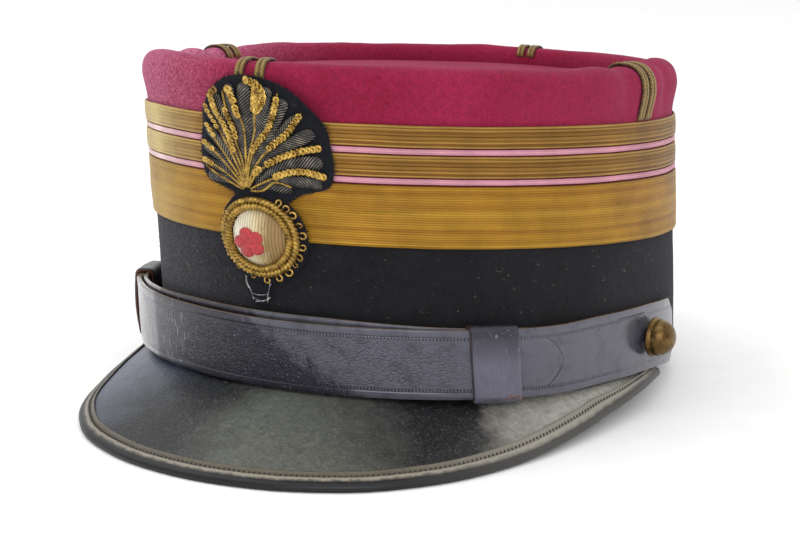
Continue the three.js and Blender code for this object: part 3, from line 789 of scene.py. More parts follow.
def pad(name, middle, reach_at, low, high, dome, finish, slot, nodes, rounds, detail=None):
    """A pad with a polar outline: under face, rounded edge, and a domed upper face."""
    section = lie_of([(0, 0), (0.9, 0), (1, 0.15), (1, 0.75), (0.97, 0.95), (0.9, 1), (0.5, 1), (0, 1)])

    def place(u, v):
        turn = math.tau * u
        share, upper = section(v)
        reach = reach_at(math.degrees(turn) % 360) * share
        x, y = middle[0] + reach * math.cos(turn), middle[1] + reach * math.sin(turn)
        raised = high + dome * (1 - share * share)
        if detail:
            raised += detail(x - middle[0], y - middle[1], share)
        return on_badge(x, y, mix(low, raised, upper))

    return laid_piece(name, rounds, rounds // 3, place, lambda u, v: (u * 60, v * 30), finish, slot, *nodes)


def backing_reach(turn):
    return max(flame_reach(turn), ball_reach(turn, BALL["radius"] + BADGE["lip"]))


pad(
    "badge_backing_pad", (FLAME["x"], FLAME["y"]), backing_reach, 0, BADGE["backing"], 0.3, badge_felt,
    "badge_felt", ["badge_backing"], 210,
)


def fibre(mesh, middle, size, lies, bend, half_width, place_at):
    """A curved hair of a given length about its middle: place_at lays (across, up, off) on the hat."""

    def on_fibre(u, v):
        turn = lies + bend * (u - 0.5) * 2
        theta, half = math.tau * v, half_width * rounded_ends(u)
        across, up = (u - 0.5) * size * math.cos(turn), (u - 0.5) * size * math.sin(turn)
        off = 0.42 + 0.15 * math.sin(u * math.pi) + half * math.sin(theta)
        return place_at(middle[0] + across, middle[1] + up + half * math.cos(theta), off)

    lay(mesh, 10, 5, on_fibre, lambda u, v: (u * 4, v))


# Fibres pulled loose along the cut edge.
FUZZ = {"count": 520, "short": 0.9, "long": 2.4, "half": 0.08, "seed": 5}
chance = random.Random(FUZZ["seed"])
fuzz = bmesh.new()
for number in range(FUZZ["count"]):
    turn = 360 * (number + chance.random()) / FUZZ["count"]
    reach = backing_reach(turn) - chance.uniform(-0.15, 0.35)
    rise = chance.uniform(-0.2, 0.9)
    middle = Vector((FLAME["x"], FLAME["y"])) + polar(turn, reach)
    fibre(
        fuzz, middle, chance.uniform(FUZZ["short"], FUZZ["long"]),
        math.radians(turn) + chance.uniform(-0.9, 0.9), chance.uniform(-1.2, 1.2), FUZZ["half"],
        lambda x, y, off, rise=rise: on_badge(x, y, off + rise),
    )
piece("badge_edge_fuzz", fuzz, badge_felt, "badge_felt")

# ---- Badge: flame ----
# Rays of dark bullion, coils of fine wire laid side by side and ribbed like rope, fan out from
# above the ball. Between them run gold threads with rows of overlapping sequins.

RAY_ROOT = (-0.4, 63.2)
# Rays: the tip's x and y, how far the middle bends to the ray's left, and the width.
RAYS = [
    (-14.6, 66.6, -1.0, 3.2), (-15.8, 71.2, -1.4, 3.2), (-15.4, 76.6, -1.3, 3.3),
    (-13.6, 82.2, -1.2, 3.4), (-11.2, 87.8, -1.0, 3.4), (-7.8, 92.2, -0.8, 3.6),
    (-3.0, 95.6, -0.5, 3.6), (2.4, 96.4, -0.3, 4.4), (9.4, 95.2, 0.6, 4.6), (14.2, 92.0, 1.1, 4.6),
    (17.6, 87.2, 1.7, 3.0), (21.4, 82.6, 2.4, 4.2), (23.2, 73.6, 2.6, 4.8), (22.8, 66.8, 2.2, 3.8),
    (14.0, 64.2, 1.0, 2.6),
]
RIB_PITCH = 1.0  # millimetres from one turn of wire to the next
FLAME_FLOOR = BADGE["backing"] + 0.15


def curved(points):
    """A smooth line through a few given points (x, y), as a function of its share."""
    points = [Vector(point) for point in points]
    fine = []
    for i in range(len(points) - 1):
        before = points[max(i - 1, 0)]
        after = points[min(i + 2, len(points) - 1)]
        for part in range(8):
            t = part / 8
            start, end = points[i], points[i + 1]
            fine.append(
                0.5 * (2 * start + (end - before) * t + (2 * before - 5 * start + 4 * end - after) * t * t
                + (3 * start - before - 3 * end + after) * t**3)
            )
    return lie_of([(*point, 0) for point in fine + [points[-1]]])


def across_way(way, share):
    """A line's point at a share, and the flat direction to its left there."""
    ahead = way(min(share + 0.02, 1)) - way(max(share - 0.02, 0))
    return way(share), Vector((-ahead.y, ahead.x)).normalized()


def cord(mesh, way, half_at, floor, tall, twist, depth, strands=1, rounds=10, per_mm=5, side=1):
    """A twisted cord laid along a way on the badge: half its width by share, height and ribs."""
    columns = max(int(way.length * per_mm), 6)

    def place(u, v):
        at, aside = across_way(way, u)
        theta = math.tau * v
        half = half_at(u) * rounded_ends(u, 12)
        ribbed = 1 + depth * math.cos(strands * theta - math.tau * u * way.length / twist)
        x = at.x + aside.x * half * math.cos(theta) * ribbed
        y = at.y + aside.y * half * math.cos(theta) * ribbed
        lift = tall(u) if callable(tall) else tall
        shrink = min(half / max(half_at(u), 1e-6), 1)
        return on_badge(x, y, floor + lift * shrink * (0.5 + 0.5 * math.sin(theta) * ribbed))

    def cut(u, v):
        return u * way.length, side * half_at(u) * math.cos(math.tau * v)

    lay(mesh, columns, rounds, place, cut)


bullion = surface("dark_oxidised_bullion", metallic=0.4, roughness=0.42, specular_ior_level=0.5)
along, across, _ = apart(in_cut(bullion))
# Turns of wire lie aslant across each ray.
wires = ridges(maths("ADD", along, across), RIB_PITCH)
worn = ramped(noise_of(in_object(bullion), 300.0, 4.0, 0.7), *SPREAD, -0.25, 0.25)
BULLION_TONES = [(0.1, "#060609"), (0.5, "#222125"), (0.72, "#565149"), (0.92, "#8c8370")]
tone = toned(maths("ADD", ramped(wires, -1.0, 1.0, 0.05, 0.8), worn), BULLION_TONES)
finished(bullion, base_color=tone, normal=relief(wires, 0.7, 0.0001))

rays = bmesh.new()
for number, (x, y, bend, width) in enumerate(RAYS):
    root, tip = Vector(RAY_ROOT), Vector((x, y))
    aside = Vector((-(tip - root).y, (tip - root).x)).normalized()
    middle = (root + tip) / 2 + aside * bend
    way = curved([root.lerp(middle, 0.2), middle, tip])
    half = width / 2
    cord(
        rays, way, lambda u, half=half: half * mix(0.2, 1, step(u, -0.1, 0.75)), FLAME_FLOOR - 0.3,
        lambda u: mix(0.9, 1.5, step(u, 0, 0.5)), RIB_PITCH, 0.0, rounds=20, per_mm=3,
        side=1 if number % 2 else -1,
    )
piece("badge_rays", rays, bullion, "grey_bullion", "badge_flame")

GOLD_LINES = [
    [(-0.5, 63.8), (0.2, 72), (0.6, 80), (0.2, 87.6)],
    [(-0.3, 63.8), (0.9, 72), (3.4, 79.5), (5.2, 86.5), (6.6, 90)],
    [(-0.2, 63.8), (1.6, 72), (5.0, 79), (8.3, 83), (10.6, 87), (12.6, 93.8)],
    [(0, 63.8), (2.4, 69.5), (6, 74.5), (9.4, 77.3), (13.4, 81), (18.8, 88.2)],
    [(0.2, 63.6), (3.2, 68.4), (7.4, 71.8), (12.6, 74.8), (19, 76.8), (23.4, 77.8)],
    [(0.6, 63.4), (4, 65.4), (8, 67.4), (12, 69.2), (17, 70), (23.6, 69.2)],
    [(0.6, 63.0), (5, 63.6), (9, 66.4), (14, 65.2)],
    [(-0.6, 63.8), (-0.9, 72), (-2.6, 78), (-3.6, 86), (-4.6, 93.4)],
    [(-0.7, 63.8), (-1.4, 70), (-4.2, 77.6), (-6.2, 85), (-9.2, 92.6)],
    [(-0.8, 63.8), (-2.4, 69.6), (-5.8, 76.8), (-9.2, 83.4), (-11.0, 88.8)],
    [(-0.9, 63.8), (-3, 68.2), (-8.2, 75.6), (-13.2, 82.6)],
    [(-1.0, 63.6), (-3.6, 67.2), (-8.8, 72.6), (-14.8, 77.2)],
    [(-1.1, 63.4), (-4.4, 66.2), (-9.8, 69.4), (-15.2, 71.6)],
    [(-1.2, 63.2), (-5, 64.8), (-10.4, 67.2), (-14.8, 69.6)],
]


def gilt(name, dark, light, metal, rough):
    """Gilt thread and wire: warm metal in soft clouds of a darker and a paler tone."""
    return mottled(
        name, dark, light, 420.0, 4.0, 0.35, 0.65, 0.7, 0.3, metallic=metal, roughness=rough,
        specular_ior_level=0.5,
    )


gilt_thread = gilt("twisted_gilt_thread", "#5c4416", "#bd9a4a", 0.6, 0.4)
gilt_sequin = gilt("stamped_gilt_sequins", "#70501a", "#d9b45c", 0.8, 0.26)

threads = bmesh.new()
for points in GOLD_LINES:
    cord(
        threads, curved(points), lambda u: 0.36, FLAME_FLOOR + 0.7, 0.75, 0.9, 0.25, strands=2, rounds=8,
        per_mm=6,
    )
piece("badge_gold_threads", threads, gilt_thread, "gold_bullion")

# Rows of sequins: their radius, and the line that they follow.
SEQUIN_ROWS = [
    (1.35, [(3.8, 97.0), (6.8, 95.8), (8.3, 93.2), (7.8, 90.6), (6.2, 88.4)]),
    (1.2, [(6.4, 94.6), (5.9, 91.6), (5.6, 88.8)]),
    (1.1, [(2.9, 75.6), (5.2, 78.6), (8.2, 82.2), (10.8, 86.8), (12.3, 91.8)]),
    (1.15, [(4.4, 70.0), (3.2, 69.0)]),
    (1.15, [(8.2, 76.8), (10.6, 78.8), (14, 81.8), (18.2, 87.2)]),
    (1.15, [(7.2, 71.8), (11.6, 74.2), (16.4, 76.2), (22.4, 77.8)]),
    (1.15, [(9.6, 68.2), (13.4, 69.8), (18, 70.4), (23.2, 69.2)]),
    (1.35, [(-0.9, 90.6), (-2.2, 93.8)]),
    (1.3, [(0.0, 86.2), (-0.4, 88.4)]),
    (1.1, [(-2.4, 79.4), (-3.0, 83), (-3.8, 87.4)]),
    (1.15, [(-5.2, 80.8), (-6.8, 85.6), (-8.4, 91.4), (-6.8, 93.4)]),
    (1.1, [(-3.4, 75.4), (-4.8, 80.6)]),
    (1.0, [(-8.6, 82), (-9.8, 85.6), (-10.6, 88.2)]),
    (0.95, [(-10.2, 79.4), (-12.2, 82.2)]),
    (0.95, [(-11.2, 75.0), (-14.0, 76.8)]),
    (0.95, [(-11.8, 70.4), (-14.4, 71.3)]),
]
SEQUIN_STEP = 1.45
SEQUIN_HEIGHT = 1.62


def badge_matrix(x, y, off, turn=0, lean=0):
    """A place on the badge as a matrix: turned in its plane, then leaning back along its x."""
    at, nearer = in_row(on_badge(x, y, off)), 0.05
    along = (in_row(on_badge(x + nearer, y, off)) - at).normalized()
    out = along.cross(in_row(on_badge(x, y + nearer, off)) - at).normalized()
    up = out.cross(along)
    basis = Matrix((along, up, out)).transposed().to_4x4()
    spin = Matrix.Rotation(turn, 4, "Z") @ Matrix.Rotation(lean, 4, "Y")
    return Matrix.Translation(at) @ basis @ spin @ MILLIMETRES


def repeated(mesh, shape, matrix):
    """Adds a copy of a small shape at a place."""
    known = len(mesh.verts)
    mesh.from_mesh(shape)
    mesh.verts.ensure_lookup_table()
    bmesh.ops.transform(mesh, matrix=matrix, verts=mesh.verts[known:])


def shape_of(name, mesh):
    """A small shape to be repeated."""
    shape = bpy.data.meshes.new(name)
    mesh.to_mesh(shape)
    mesh.free()
    return shape


def spun(mesh, geometry, turn, steps, **joined):
    """Turns a profile about the upright axis."""
    bmesh.ops.spin(mesh, geom=geometry, axis=(0, 0, 1), cent=(0, 0, 0), angle=turn, steps=steps, **joined)


def ring_shape(name, outer, inner, thick, sides):
    """A small flat ring, slightly cupped, of unit size."""
    mesh = bmesh.new()
    section = [(inner, 0), (mix(inner, outer, 0.6), 0), (outer, thick * 0.5), (outer, thick * 1.2)]
    section += [(mix(inner, outer, 0.6), thick * 0.8), (inner, thick * 0.7)]
    corners = [mesh.verts.new((x, 0, z)) for x, z in section]
    edges = [mesh.edges.new(pair) for pair in zip(corners, corners[1:] + corners[:1])]
    spun(mesh, corners + edges, math.tau, sides, use_merge=True)
    bmesh.ops.remove_doubles(mesh, verts=mesh.verts, dist=1e-5)
    bmesh.ops.recalc_face_normals(mesh, faces=mesh.faces)
    return shape_of(name, mesh)


chance = random.Random(4)
sequin = ring_shape("sequin", 1, 0.1, 0.12, 18)
sequins = bmesh.new()
for size, points in SEQUIN_ROWS:
    way = curved(points)
    count = max(round(way.length / SEQUIN_STEP), 1)
    for i in range(count + 1):
        at, ahead = way(i / count), way(min(i / count + 0.05, 1)) - way(max(i / count - 0.05, 0))
        turn = math.atan2(ahead.y, ahead.x)
        radius = size * chance.uniform(0.93, 1.07)
        lean = -0.2 + chance.uniform(-0.14, 0.14)
        off = FLAME_FLOOR + SEQUIN_HEIGHT + chance.uniform(-0.08, 0.08)
        repeated(sequins, sequin, badge_matrix(at.x, at.y, off, turn, lean) @ Matrix.Scale(radius, 4))
piece("badge_sequins", sequins, gilt_sequin, "gold_bullion")

# ---- Badge: ball ----
# Ropes of gilt wire round a padded disc of laid silver wire, a raised red silk rosette worked
# on it, and loops of purl wire round its lower edge.


def round_way(x, y, radius):
    def at(share):
        turn = math.tau * share
        return Vector((x + radius * math.cos(turn), y + radius * math.sin(turn), 0))

    at.length = math.tau * radius
    return at


def rope(mesh, radius, half, floor, tall, twist, depth, strands):
    """A closed rope round the ball."""
    way = round_way(BALL["x"], BALL["y"], radius)
    turns = round(way.length / twist)

    def place(u, v):
        theta = math.tau * v
        ribbed = 1 + depth * math.cos(strands * theta - math.tau * u * turns)
        reach = radius + half * math.cos(theta) * ribbed
        at = round_way(BALL["x"], BALL["y"], reach)(u)
        return on_badge(at.x, at.y, floor + tall * (0.5 + 0.5 * math.sin(theta) * ribbed))

    lay(mesh, turns * 6, 14, place, lambda u, v: (u * way.length, v * 3))


BALL_FLOOR = BADGE["backing"] - 0.1
ball_rim = bmesh.new()
rope(ball_rim, BALL["radius"] - 1.0, 1.0, BALL_FLOOR, 2.8, 1.25, 0.2, 2)
rope(ball_rim, BALL["radius"] - 2.75, 0.95, BALL_FLOOR + 0.6, 2.9, 1.1, 0.18, 1)
piece("badge_ball_ropes", ball_rim, gilt_thread, "gold_bullion", "badge_ball_rim")

# Purl loops: places round the ball by direction, and how far out they sit.
LOOP_PLACES = [
    (58, 0.9), (47, 1.0), (36, 1.1), (22, 1.2), (8, 1.1), (-8, 0.7), (-22, 0.5), (-36, 0.4), (-50, 0.5),
    (-66, 0.6), (-84, 0.7), (-104, 0.3), (-128, 0.2), (-150, 0.2), (172, 0.1), (150, 0.3),
]
purl = bmesh.new()
PURL = {"wire": 0.3, "reach": 1.0, "turned": math.radians(285)}
wire = [polar(45 * i, PURL["wire"]) + Vector((PURL["reach"], PURL["wire"])) for i in range(8)]
corners = [purl.verts.new((x, 0, z)) for x, z in wire]
purl.faces.new(corners)
spun(purl, corners + purl.edges[:] + purl.faces[:], PURL["turned"], 14, use_duplicate=False)
bmesh.ops.recalc_face_normals(purl, faces=purl.faces)
purl_shape = shape_of("purl", purl)
loops = bmesh.new()
for direction, out in LOOP_PLACES:
    turn = math.radians(direction)
    reach = BALL["radius"] + out + 0.1
    x, y = BALL["x"] + reach * math.cos(turn), BALL["y"] + reach * math.sin(turn)
    radius = chance.uniform(0.85, 1.05) if out > 0.4 else chance.uniform(0.6, 0.75)
    lean = chance.uniform(-0.5, 0.5)
    at = badge_matrix(x, y, BALL_FLOOR + 0.9, turn + math.radians(215) + chance.uniform(-0.4, 0.4), lean)
    repeated(loops, purl_shape, at @ Matrix.Scale(radius, 4))
piece("badge_purl_loops", loops, gilt("gilt_purl_wire", "#7a5722", "#cfa858", 0.6, 0.35), "gold_bullion")

LAID_WIRE = 1.0  # millimetres from one wire to the next


def laid_wires(x, y, share):
    waver = 0.12 * math.sin(y * 0.9 + x)
    humped = 0.24 * abs(math.sin(math.pi * (x + waver) / LAID_WIRE)) - 0.12
    return humped + 0.06 * math.sin(math.tau * y / 0.5)


silver = surface("laid_silver_cream_wire", metallic=0.25, roughness=0.45, specular_ior_level=0.5)
place = in_object(silver)
across = apart(place)[0]
# Darker toward the wearer's left side, in soft clouds; the right stays nearly white.
soft = times(noise_of(place, 240.0, 4.0, 0.65), 0.45)
darker_toward_left = maths("ADD", ramped(across, -0.007, 0.011), soft)
tone = toned(darker_toward_left, [(0.35, "#f3ecda"), (0.75, "#c9b98f"), (1.0, "#8d7041")])
wires = ridges(across, LAID_WIRE)
laid = scaled(tone, ramped(wires, -1.0, -0.2, 0.6, 1.0))
finished(silver, base_color=laid, normal=relief(wires, 0.6, 0.0001))
pad(
    "badge_ball_disc", (BALL["x"], BALL["y"]), lambda turn: BALL["disc"], BALL_FLOOR, BALL_FLOOR + 1.3,
    BALL["dome"], silver, "silver_bullion", ["badge_ball"], 150, laid_wires,
)

ROSETTE = {"x": 0.4, "y": 47.0, "radius": 4.8, "petals": 5, "notch": 0.68, "rise": 1.1, "stitch": 11}


def petal_reach(turn):
    petal = abs(math.sin(math.radians(turn * ROSETTE["petals"] / 2)))
    return ROSETTE["radius"] * mix(ROSETTE["notch"], 1, petal**0.6)


def satin(x, y, share):
    turn = math.atan2(y, x)
    petal = abs(math.sin(turn * ROSETTE["petals"] / 2))
    return 0.55 * petal * share * (1 - share) * 2 + 0.07 * math.sin(turn * ROSETTE["stitch"] * 5) * share


red_silk = mottled(
    "red_silk_satin_stitch", "#87151c", "#b3272b", 900.0, 4.0, 0.35, 0.65, 0.7, 0.5, roughness=0.45,
    sheen_weight=0.2,
)
rosette_floor = BALL_FLOOR + 1.3 + BALL["dome"] - 0.45
pad(
    "badge_red_rosette", (ROSETTE["x"], ROSETTE["y"]), petal_reach, rosette_floor, rosette_floor + 0.75,
    ROSETTE["rise"] - 0.55, red_silk, "red_thread", ["badge_rosette"], 150, satin,
)

# ---- Badge: tab ----
# A short tongue of the badge's felt below the ball, tacked down with pale crossing threads.

TAB = {"x": -1.2, "top": 36.6, "bottom": 26.4, "top_half": 4.6, "bottom_half": 3.0, "thick": 0.9}
tab_cut = lie_of([(-1, 0, 0), (-1, 1, 0), (-0.9, 1.25, 0), (0.9, 1.25, 0), (1, 1, 0), (1, 0, 0), (-1, 0, 0)])


def on_tab(u, v):
    x, out, _ = tab_cut(v)
    half = mix(TAB["bottom_half"], TAB["top_half"], u) * math.sqrt(min(u * 8, 1))
    angle = (TAB["x"] + x * half) * DEGREES_PER_MM
    return on_side(angle, mix(TAB["bottom"], TAB["top"], u), GAP + out * TAB["thick"] * 0.7)


laid_piece(
    "badge_felt_tab", 30, 36, on_tab, lambda u, v: (u * 10, v * 20), badge_felt, "badge_felt", "badge_tab"
)

pale_thread = mottled(
    "pale_tacking_thread", "#4c4a4c", "#a9a6a4", 700.0, 3.0, 0.4, 0.62, roughness=0.6, sheen_weight=0.3
)
TACKS = [
    [(-5.6, 36.4), (-5.2, 33), (-4.0, 30.4), (-3.4, 27.4)],
    [(-5.0, 35.6), (-5.6, 33.4), (-4.6, 31.2)],
    [(3.2, 35.4), (2.7, 32.6), (1.9, 30), (1.6, 27.2)],
    [(3.6, 34.6), (2.4, 31.8)],
    [(-4.2, 30.0), (-1.4, 29.5), (2.2, 30.2)],
    [(-3.8, 28.6), (-0.6, 27.6), (2.4, 28.8)],
    [(-2.8, 27.2), (0.8, 28.0), (2.9, 29.4)],
]
tacks = bmesh.new()
for points in TACKS:
    way = curved(points)

    def on_tack(u, v, way=way):
        at, aside = across_way(way, u)
        theta, half = math.tau * v, 0.16 * rounded_ends(u)
        x, y = at.x + aside.x * half * math.cos(theta), at.y + aside.y * half * math.cos(theta)
        return on_side(x * DEGREES_PER_MM, y, 1.5 + half * math.sin(theta))

    lay(tacks, 24, 6, on_tack, lambda u, v: (u, v))
piece("badge_tacking", tacks, pale_thread, "badge_felt")

# ---- Lint and loose hairs ----
# Pale hairs and bits of lint caught in the black cloth, most of them short, a few long and
# curled, laid at random but always the same.

LINT = {"count": 90, "from": -66, "to": 100, "low": 27, "high": 46, "long": 6, "half": 0.06}
dusty_lint = mottled(
    "dusty_lint_fibre", "#3c3935", "#827a6d", 150.0, 2.0, 0.35, 0.7, roughness=0.8, sheen_weight=0.3
)
fibres = bmesh.new()
for number in range(LINT["count"]):
    angle, height = chance.uniform(LINT["from"], LINT["to"]), chance.uniform(LINT["low"], LINT["high"])
    size = chance.uniform(2.5, 5) if number < LINT["long"] else chance.uniform(0.3, 1.2)
    way_on, bend = chance.uniform(0, math.tau), chance.uniform(-1.6, 1.6)
    fibre(
        fibres, (angle / DEGREES_PER_MM, height), size, way_on, bend, LINT["half"],
        lambda x, y, off: on_side(x * DEGREES_PER_MM, y, off),
    )
piece("lint_hairs", fibres, dusty_lint, "black_wool")

# ---- Chin strap ----
# Two halves of black patent leather, each fixed by a button and reaching through the other's
# keeper. A pricked line runs inside each edge; the varnish is crazed where the strap bends most.

STRAP = {"inner": {"width": 21.2, "thick": 1.6}, "outer": {"width": 22.7, "thick": 1.8}}
# How they lie by angle: off the side (inner, outer), and lower edge (inner, outer).
STRAP_LIE = [
    (-104, 0.5, 2.6, 3.4, 3), (-88, 0.5, 2.6, 3.6, 3.2), (-76, 3, 5.1, 2.4, 0.8), (-60, 5.6, 7.7, 0.8, -0.9),
    (-46, 4, 6.1, 2, -0.4), (-20, 2, 4, 3.6, 0.1), (15, 1.8, 3.8, 3.6, 0.1), (38, 2, 4, 2, 0.2),
    (46, 2, 4, 1.9, 0.5), (52, 2, 4, 1.8, 0.5), (61, 0.6, 2.6, 1.8, 0.7), (70, 0.5, 0.8, 2, 1.9),
    (88, 0.5, 0.5, 3.4, 3.2), (104, 0.5, 0.5, 3.2, 2.6),
]
LIE_COLUMNS = {"inner": (1, 3), "outer": (2, 4)}
TIP = {"over": 6, "blunt": 0.1, "round": 0.75}
FIXED_END = {"over": 3, "blunt": 0.5, "round": 1}
STRAP_ENDS = {
    "outer": ({"at": -74, **TIP}, {"at": 101.5, **FIXED_END}),
    "inner": ({"at": -101.5, **FIXED_END}, {"at": 60.4, **TIP}),
}
CUT_WIDTH = 22.0  # the strap's nominal width, which its cut's coordinates run across
PRICKED = {"inset": 2.9, "half": 0.7, "pitch": 1.05}


def strap_share(half, angle):
    """How much of its width a strap keeps near its ends."""
    left, right = STRAP_ENDS[half]
    share = 1
    for end, gone in ((left, angle - left["at"]), (right, right["at"] - angle)):
        if gone < end["over"]:
            share = mix(end["blunt"], 1, max(gone / end["over"], 0) ** end["round"])
    return share


def by_point(points):
    """Like lie_of, but each point takes the same share, so that every corner is kept."""
    points = [Vector(point) for point in points]
    runs = runs_of(points)
    last = len(points) - 1

    def at(share, values=points):
        place = min(max(share, 0), 1) * last
        lower = min(int(place + 1e-6), last - 1)
        return mix(values[lower], values[lower + 1], place - lower)

    at.count = last
    at.run = lambda share: at(share, runs)
    return at


def strip_section(width, thick, steps):
    """A strap's section as (height, out), from the front's lower corner round and back."""
    soft = 0.4
    front = [(mix(soft, width - soft, i / steps), thick) for i in range(steps + 1)]
    top = [(width - 0.1, thick - 0.13), (width, thick - soft), (width, 0.3), (width - 0.3, 0)]
    back = [(mix(width - 0.3, 0.3, i / 6), 0) for i in range(1, 7)]
    foot = (0.1, thick - 0.13)
    return by_point([foot, *front, *top, *back, (0, 0.3), (0, thick - soft), foot])


def patent(name, deep, worn, sheen_grey, raw, crazing, dulled):
    """Patent leather: a thick varnish over black leather, crazed, pricked along both edges, with
    raw brown edges where it was cut. It is dulled between two places, the second one aslant;
    outside them its colour carries a painted violet-grey sheen."""
    made = surface(
        name, specular_ior_level=0.5, specular_tint=colour("#d0ccea"), coat_weight=0.45, coat_roughness=0.06
    )
    cut = in_cut(made)
    along, across, _ = apart(cut)
    half_width = CUT_WIDTH / 2000
    away = maths("ABSOLUTE", maths("SUBTRACT", across, half_width))
    clouds = noise_of(cut, 160.0, 6.0, 0.7)
    # Where the varnish is dulled: rougher, and black without the painted violet-grey sheen, with a ragged
    # slanting edge toward the wearer's left.
    start, end = dulled
    leaning = maths("ADD", along, times(across, 1.66))
    leaning = maths("ADD", leaning, ramped(clouds, *SPREAD, -0.008, 0.008))
    dull = times(ramped(along, start - 0.001, start + 0.002), ramped(leaning, end + 0.007, end - 0.003))
    # Crazing: wavy cracks 0.8 mm apart, three times longer than high, inside the pricked lines.
    moved = {0: stretched(cut, (430.0, 1250.0, 1.0)), 1: scaled(noise_of(cut, 380.0, 3.0, out=1), 1.5)}
    moved = add(cut.id_data, "VectorMath", moved, operation="ADD").outputs[0]
    cells = {"Vector": moved, "Scale": 1.0}
    cells = add(cut.id_data, "TexVoronoi", cells, feature="DISTANCE_TO_EDGE").outputs[0]
    patchy = ramped(noise_of(cut, 70.0, 3.0, 0.6), 0.34, 0.56, 0.15, 1.0)
    crazed = times(ramped(along, -0.095, -0.07), patchy, crazing, ramped(along, 0.060, 0.072, 1.0, 0.06))
    cracks = times(ramped(cells, 0.0, 0.14, 1.0, 0.0), crazed, ramped(away, 0.0082, 0.0076))
    # Pricked line: ticks across a band a little inside each edge, and a plain groove outside it.
    beside = maths("SUBTRACT", away, half_width - PRICKED["inset"] / 1000)
    banded = ramped(maths("ABSOLUTE", beside), PRICKED["half"] / 1000, 0.0003)
    pricks = times(banded, ramped(ridges(along, PRICKED["pitch"]), 0.0, 0.5))
    groove = times(ramped(beside, 0.0009, 0.0005), ramped(beside, 0.0002, 0.0005))
    # A dark line where the other half's pointed tip presses through.
    taper = times(maths("POWER", away, 1.8), 37.0)
    past = maths("SUBTRACT", maths("ADD", along, taper), circumference(STRAP_ENDS["inner"][1]["at"]) / 1000)
    tip = times(ramped(maths("ABSOLUTE", past), 0.00045, 0.00012), ramped(away, 0.0085, 0.0078))
    # Short upright scratches toward the wearer's right.
    scratch = noise_of(stretched(cut, (1900.0, 210.0, 1.0)), 1.0, 2.0, distortion=0.6)
    between = times(ramped(along, -0.058, -0.052), ramped(along, -0.030, -0.038))
    scratch = times(ramped(scratch, 0.62, 0.68), between)
    # Specks of lifted varnish catch the light where it is dulled.
    speck = times(ramped(noise_of(cut, 1300.0, 2.0), 0.63, 0.72), dull)
    pale = maths("MAXIMUM", times(scratch, 0.7), times(speck, 0.35))
    # Colour: a painted violet-grey sheen where smooth, black where dulled, darker in pricks, brown at the
    # edge.
    dark_tone = toned(clouds, [(0.35, deep), (0.7, worn)])
    painted_sheen_tone = toned(clouds, [(0.15, worn), (0.5, sheen_grey)])
    lines = maths("MAXIMUM", maths("MAXIMUM", pricks, tip), times(cracks, 0.5))
    shade = blend(pale, blend(dull, painted_sheen_tone, dark_tone), colour("#a3a8b4"))
    shade = blend(times(lines, 0.85), shade, colour("#08080a"))
    shade = blend(ramped(away, half_width, half_width + 0.0003), shade, colour(raw))
    sunk = maths("MAXIMUM", maths("MAXIMUM", cracks, pricks), maths("MAXIMUM", tip, groove))
    height = maths("SUBTRACT", times(noise_of(cut, 900.0, 3.0), 0.22), sunk)
    bump = relief(height, 0.55, 0.00025)
    rough = maths("ADD", ramped(clouds, *SPREAD, 0.16, 0.28), times(dull, 0.3))
    return finished(made, base_color=shade, roughness=rough, normal=bump, coat_normal=bump)


DULLED = (-0.056, 0.03)  # along the strap, in metres
patent_leather = patent("crazed_patent_leather", "#08090d", "#191921", "#47474f", "#6e5c42", 0.9, DULLED)


def strap(half):
    width, thick = STRAP[half]["width"], STRAP[half]["thick"]
    section = strip_section(width, thick, 22)
    left, right = STRAP_ENDS[half]
    off_column, low_column = LIE_COLUMNS[half]
    under = STRAP_ENDS["inner"][1]

    def place(u, v):
        angle = mix(left["at"], right["at"], u)
        up, out = section(v)
        share = strap_share(half, angle)
        height = eased_at(STRAP_LIE, angle, low_column) + width / 2 + (up - width / 2) * share
        gone = min(u, 1 - u) * circumference(right["at"] - left["at"])
        out *= min(gone / 0.6 + 0.02, 1)
        at = on_side(angle, height, out)
        slack = 0.16 * lumps(at, 16, 11) + 0.05 * lumps(at, 4, 12)
        if half == "outer" and under["at"] - 9 < angle < under["at"] + 2:
            # The other half's tip shows through as a low step.
            reach = STRAP["inner"]["width"] / 2 * strap_share("inner", angle) * (angle < under["at"])
            slack += 0.3 * (1 - step(abs(height - 12.4), reach - 0.9, reach))
        return on_side(angle, height, eased_at(STRAP_LIE, angle, off_column) + out + slack * (out > 0.3))

    def cut(u, v):
        up, out = section(v)
        face = up / width * CUT_WIDTH
        if out < thick - 0.2:
            face = CUT_WIDTH + 0.5 if up > width / 2 else -0.5
        return circumference(mix(left["at"], right["at"], u)), face

    finish = (patent_leather, "patent_leather")
    laid_piece("chin_strap_" + half, 330, section.count, place, cut, *finish, "strap_" + half)


strap("inner")
strap("outer")

# ---- Keepers ----
# Flat leather loops that hold the halves together: the same black leather, scuffed along the
# top, with orange-brown raw edges and a few red-brown stitches where each is closed.

KEEPERS = [
    {"name": "keeper_right", "from": 41.3, "to": 50.6, "loose": 0},
    {"name": "keeper_left", "from": -69, "to": -60, "loose": 1},
]
KEEPER = {"leather": 1.1, "room": 0.35, "corner": 1.5, "slack": 0.9, "scuffed_from": 0.0138}
keeper_leather = patent(
    "scuffed_keeper_leather", "#0e0e12", "#1c191d", "#53525f", "#5a3a28", 0.35, (KEEPER["scuffed_from"], 0.12)
)


def keeper_way(deep, tall):
    """The loop's hole as shares (x out, y up) with the outward direction at each point."""
    corner_x, corner_y = KEEPER["corner"] / deep * 0.55, KEEPER["corner"] / tall
    centres = [(1 - corner_x, corner_y, -90), (1 - corner_x, 1 - corner_y, 0), (corner_x, 1 - corner_y, 90)]
    centres.append((corner_x, corner_y, 180))
    points = []
    for x, y, start in centres:
        for part in range(6):
            out = polar(start + part * 18)
            points.append((x + corner_x * out.x, y + corner_y * out.y, *out))
    points.append(points[0])
    return lie_of(points)


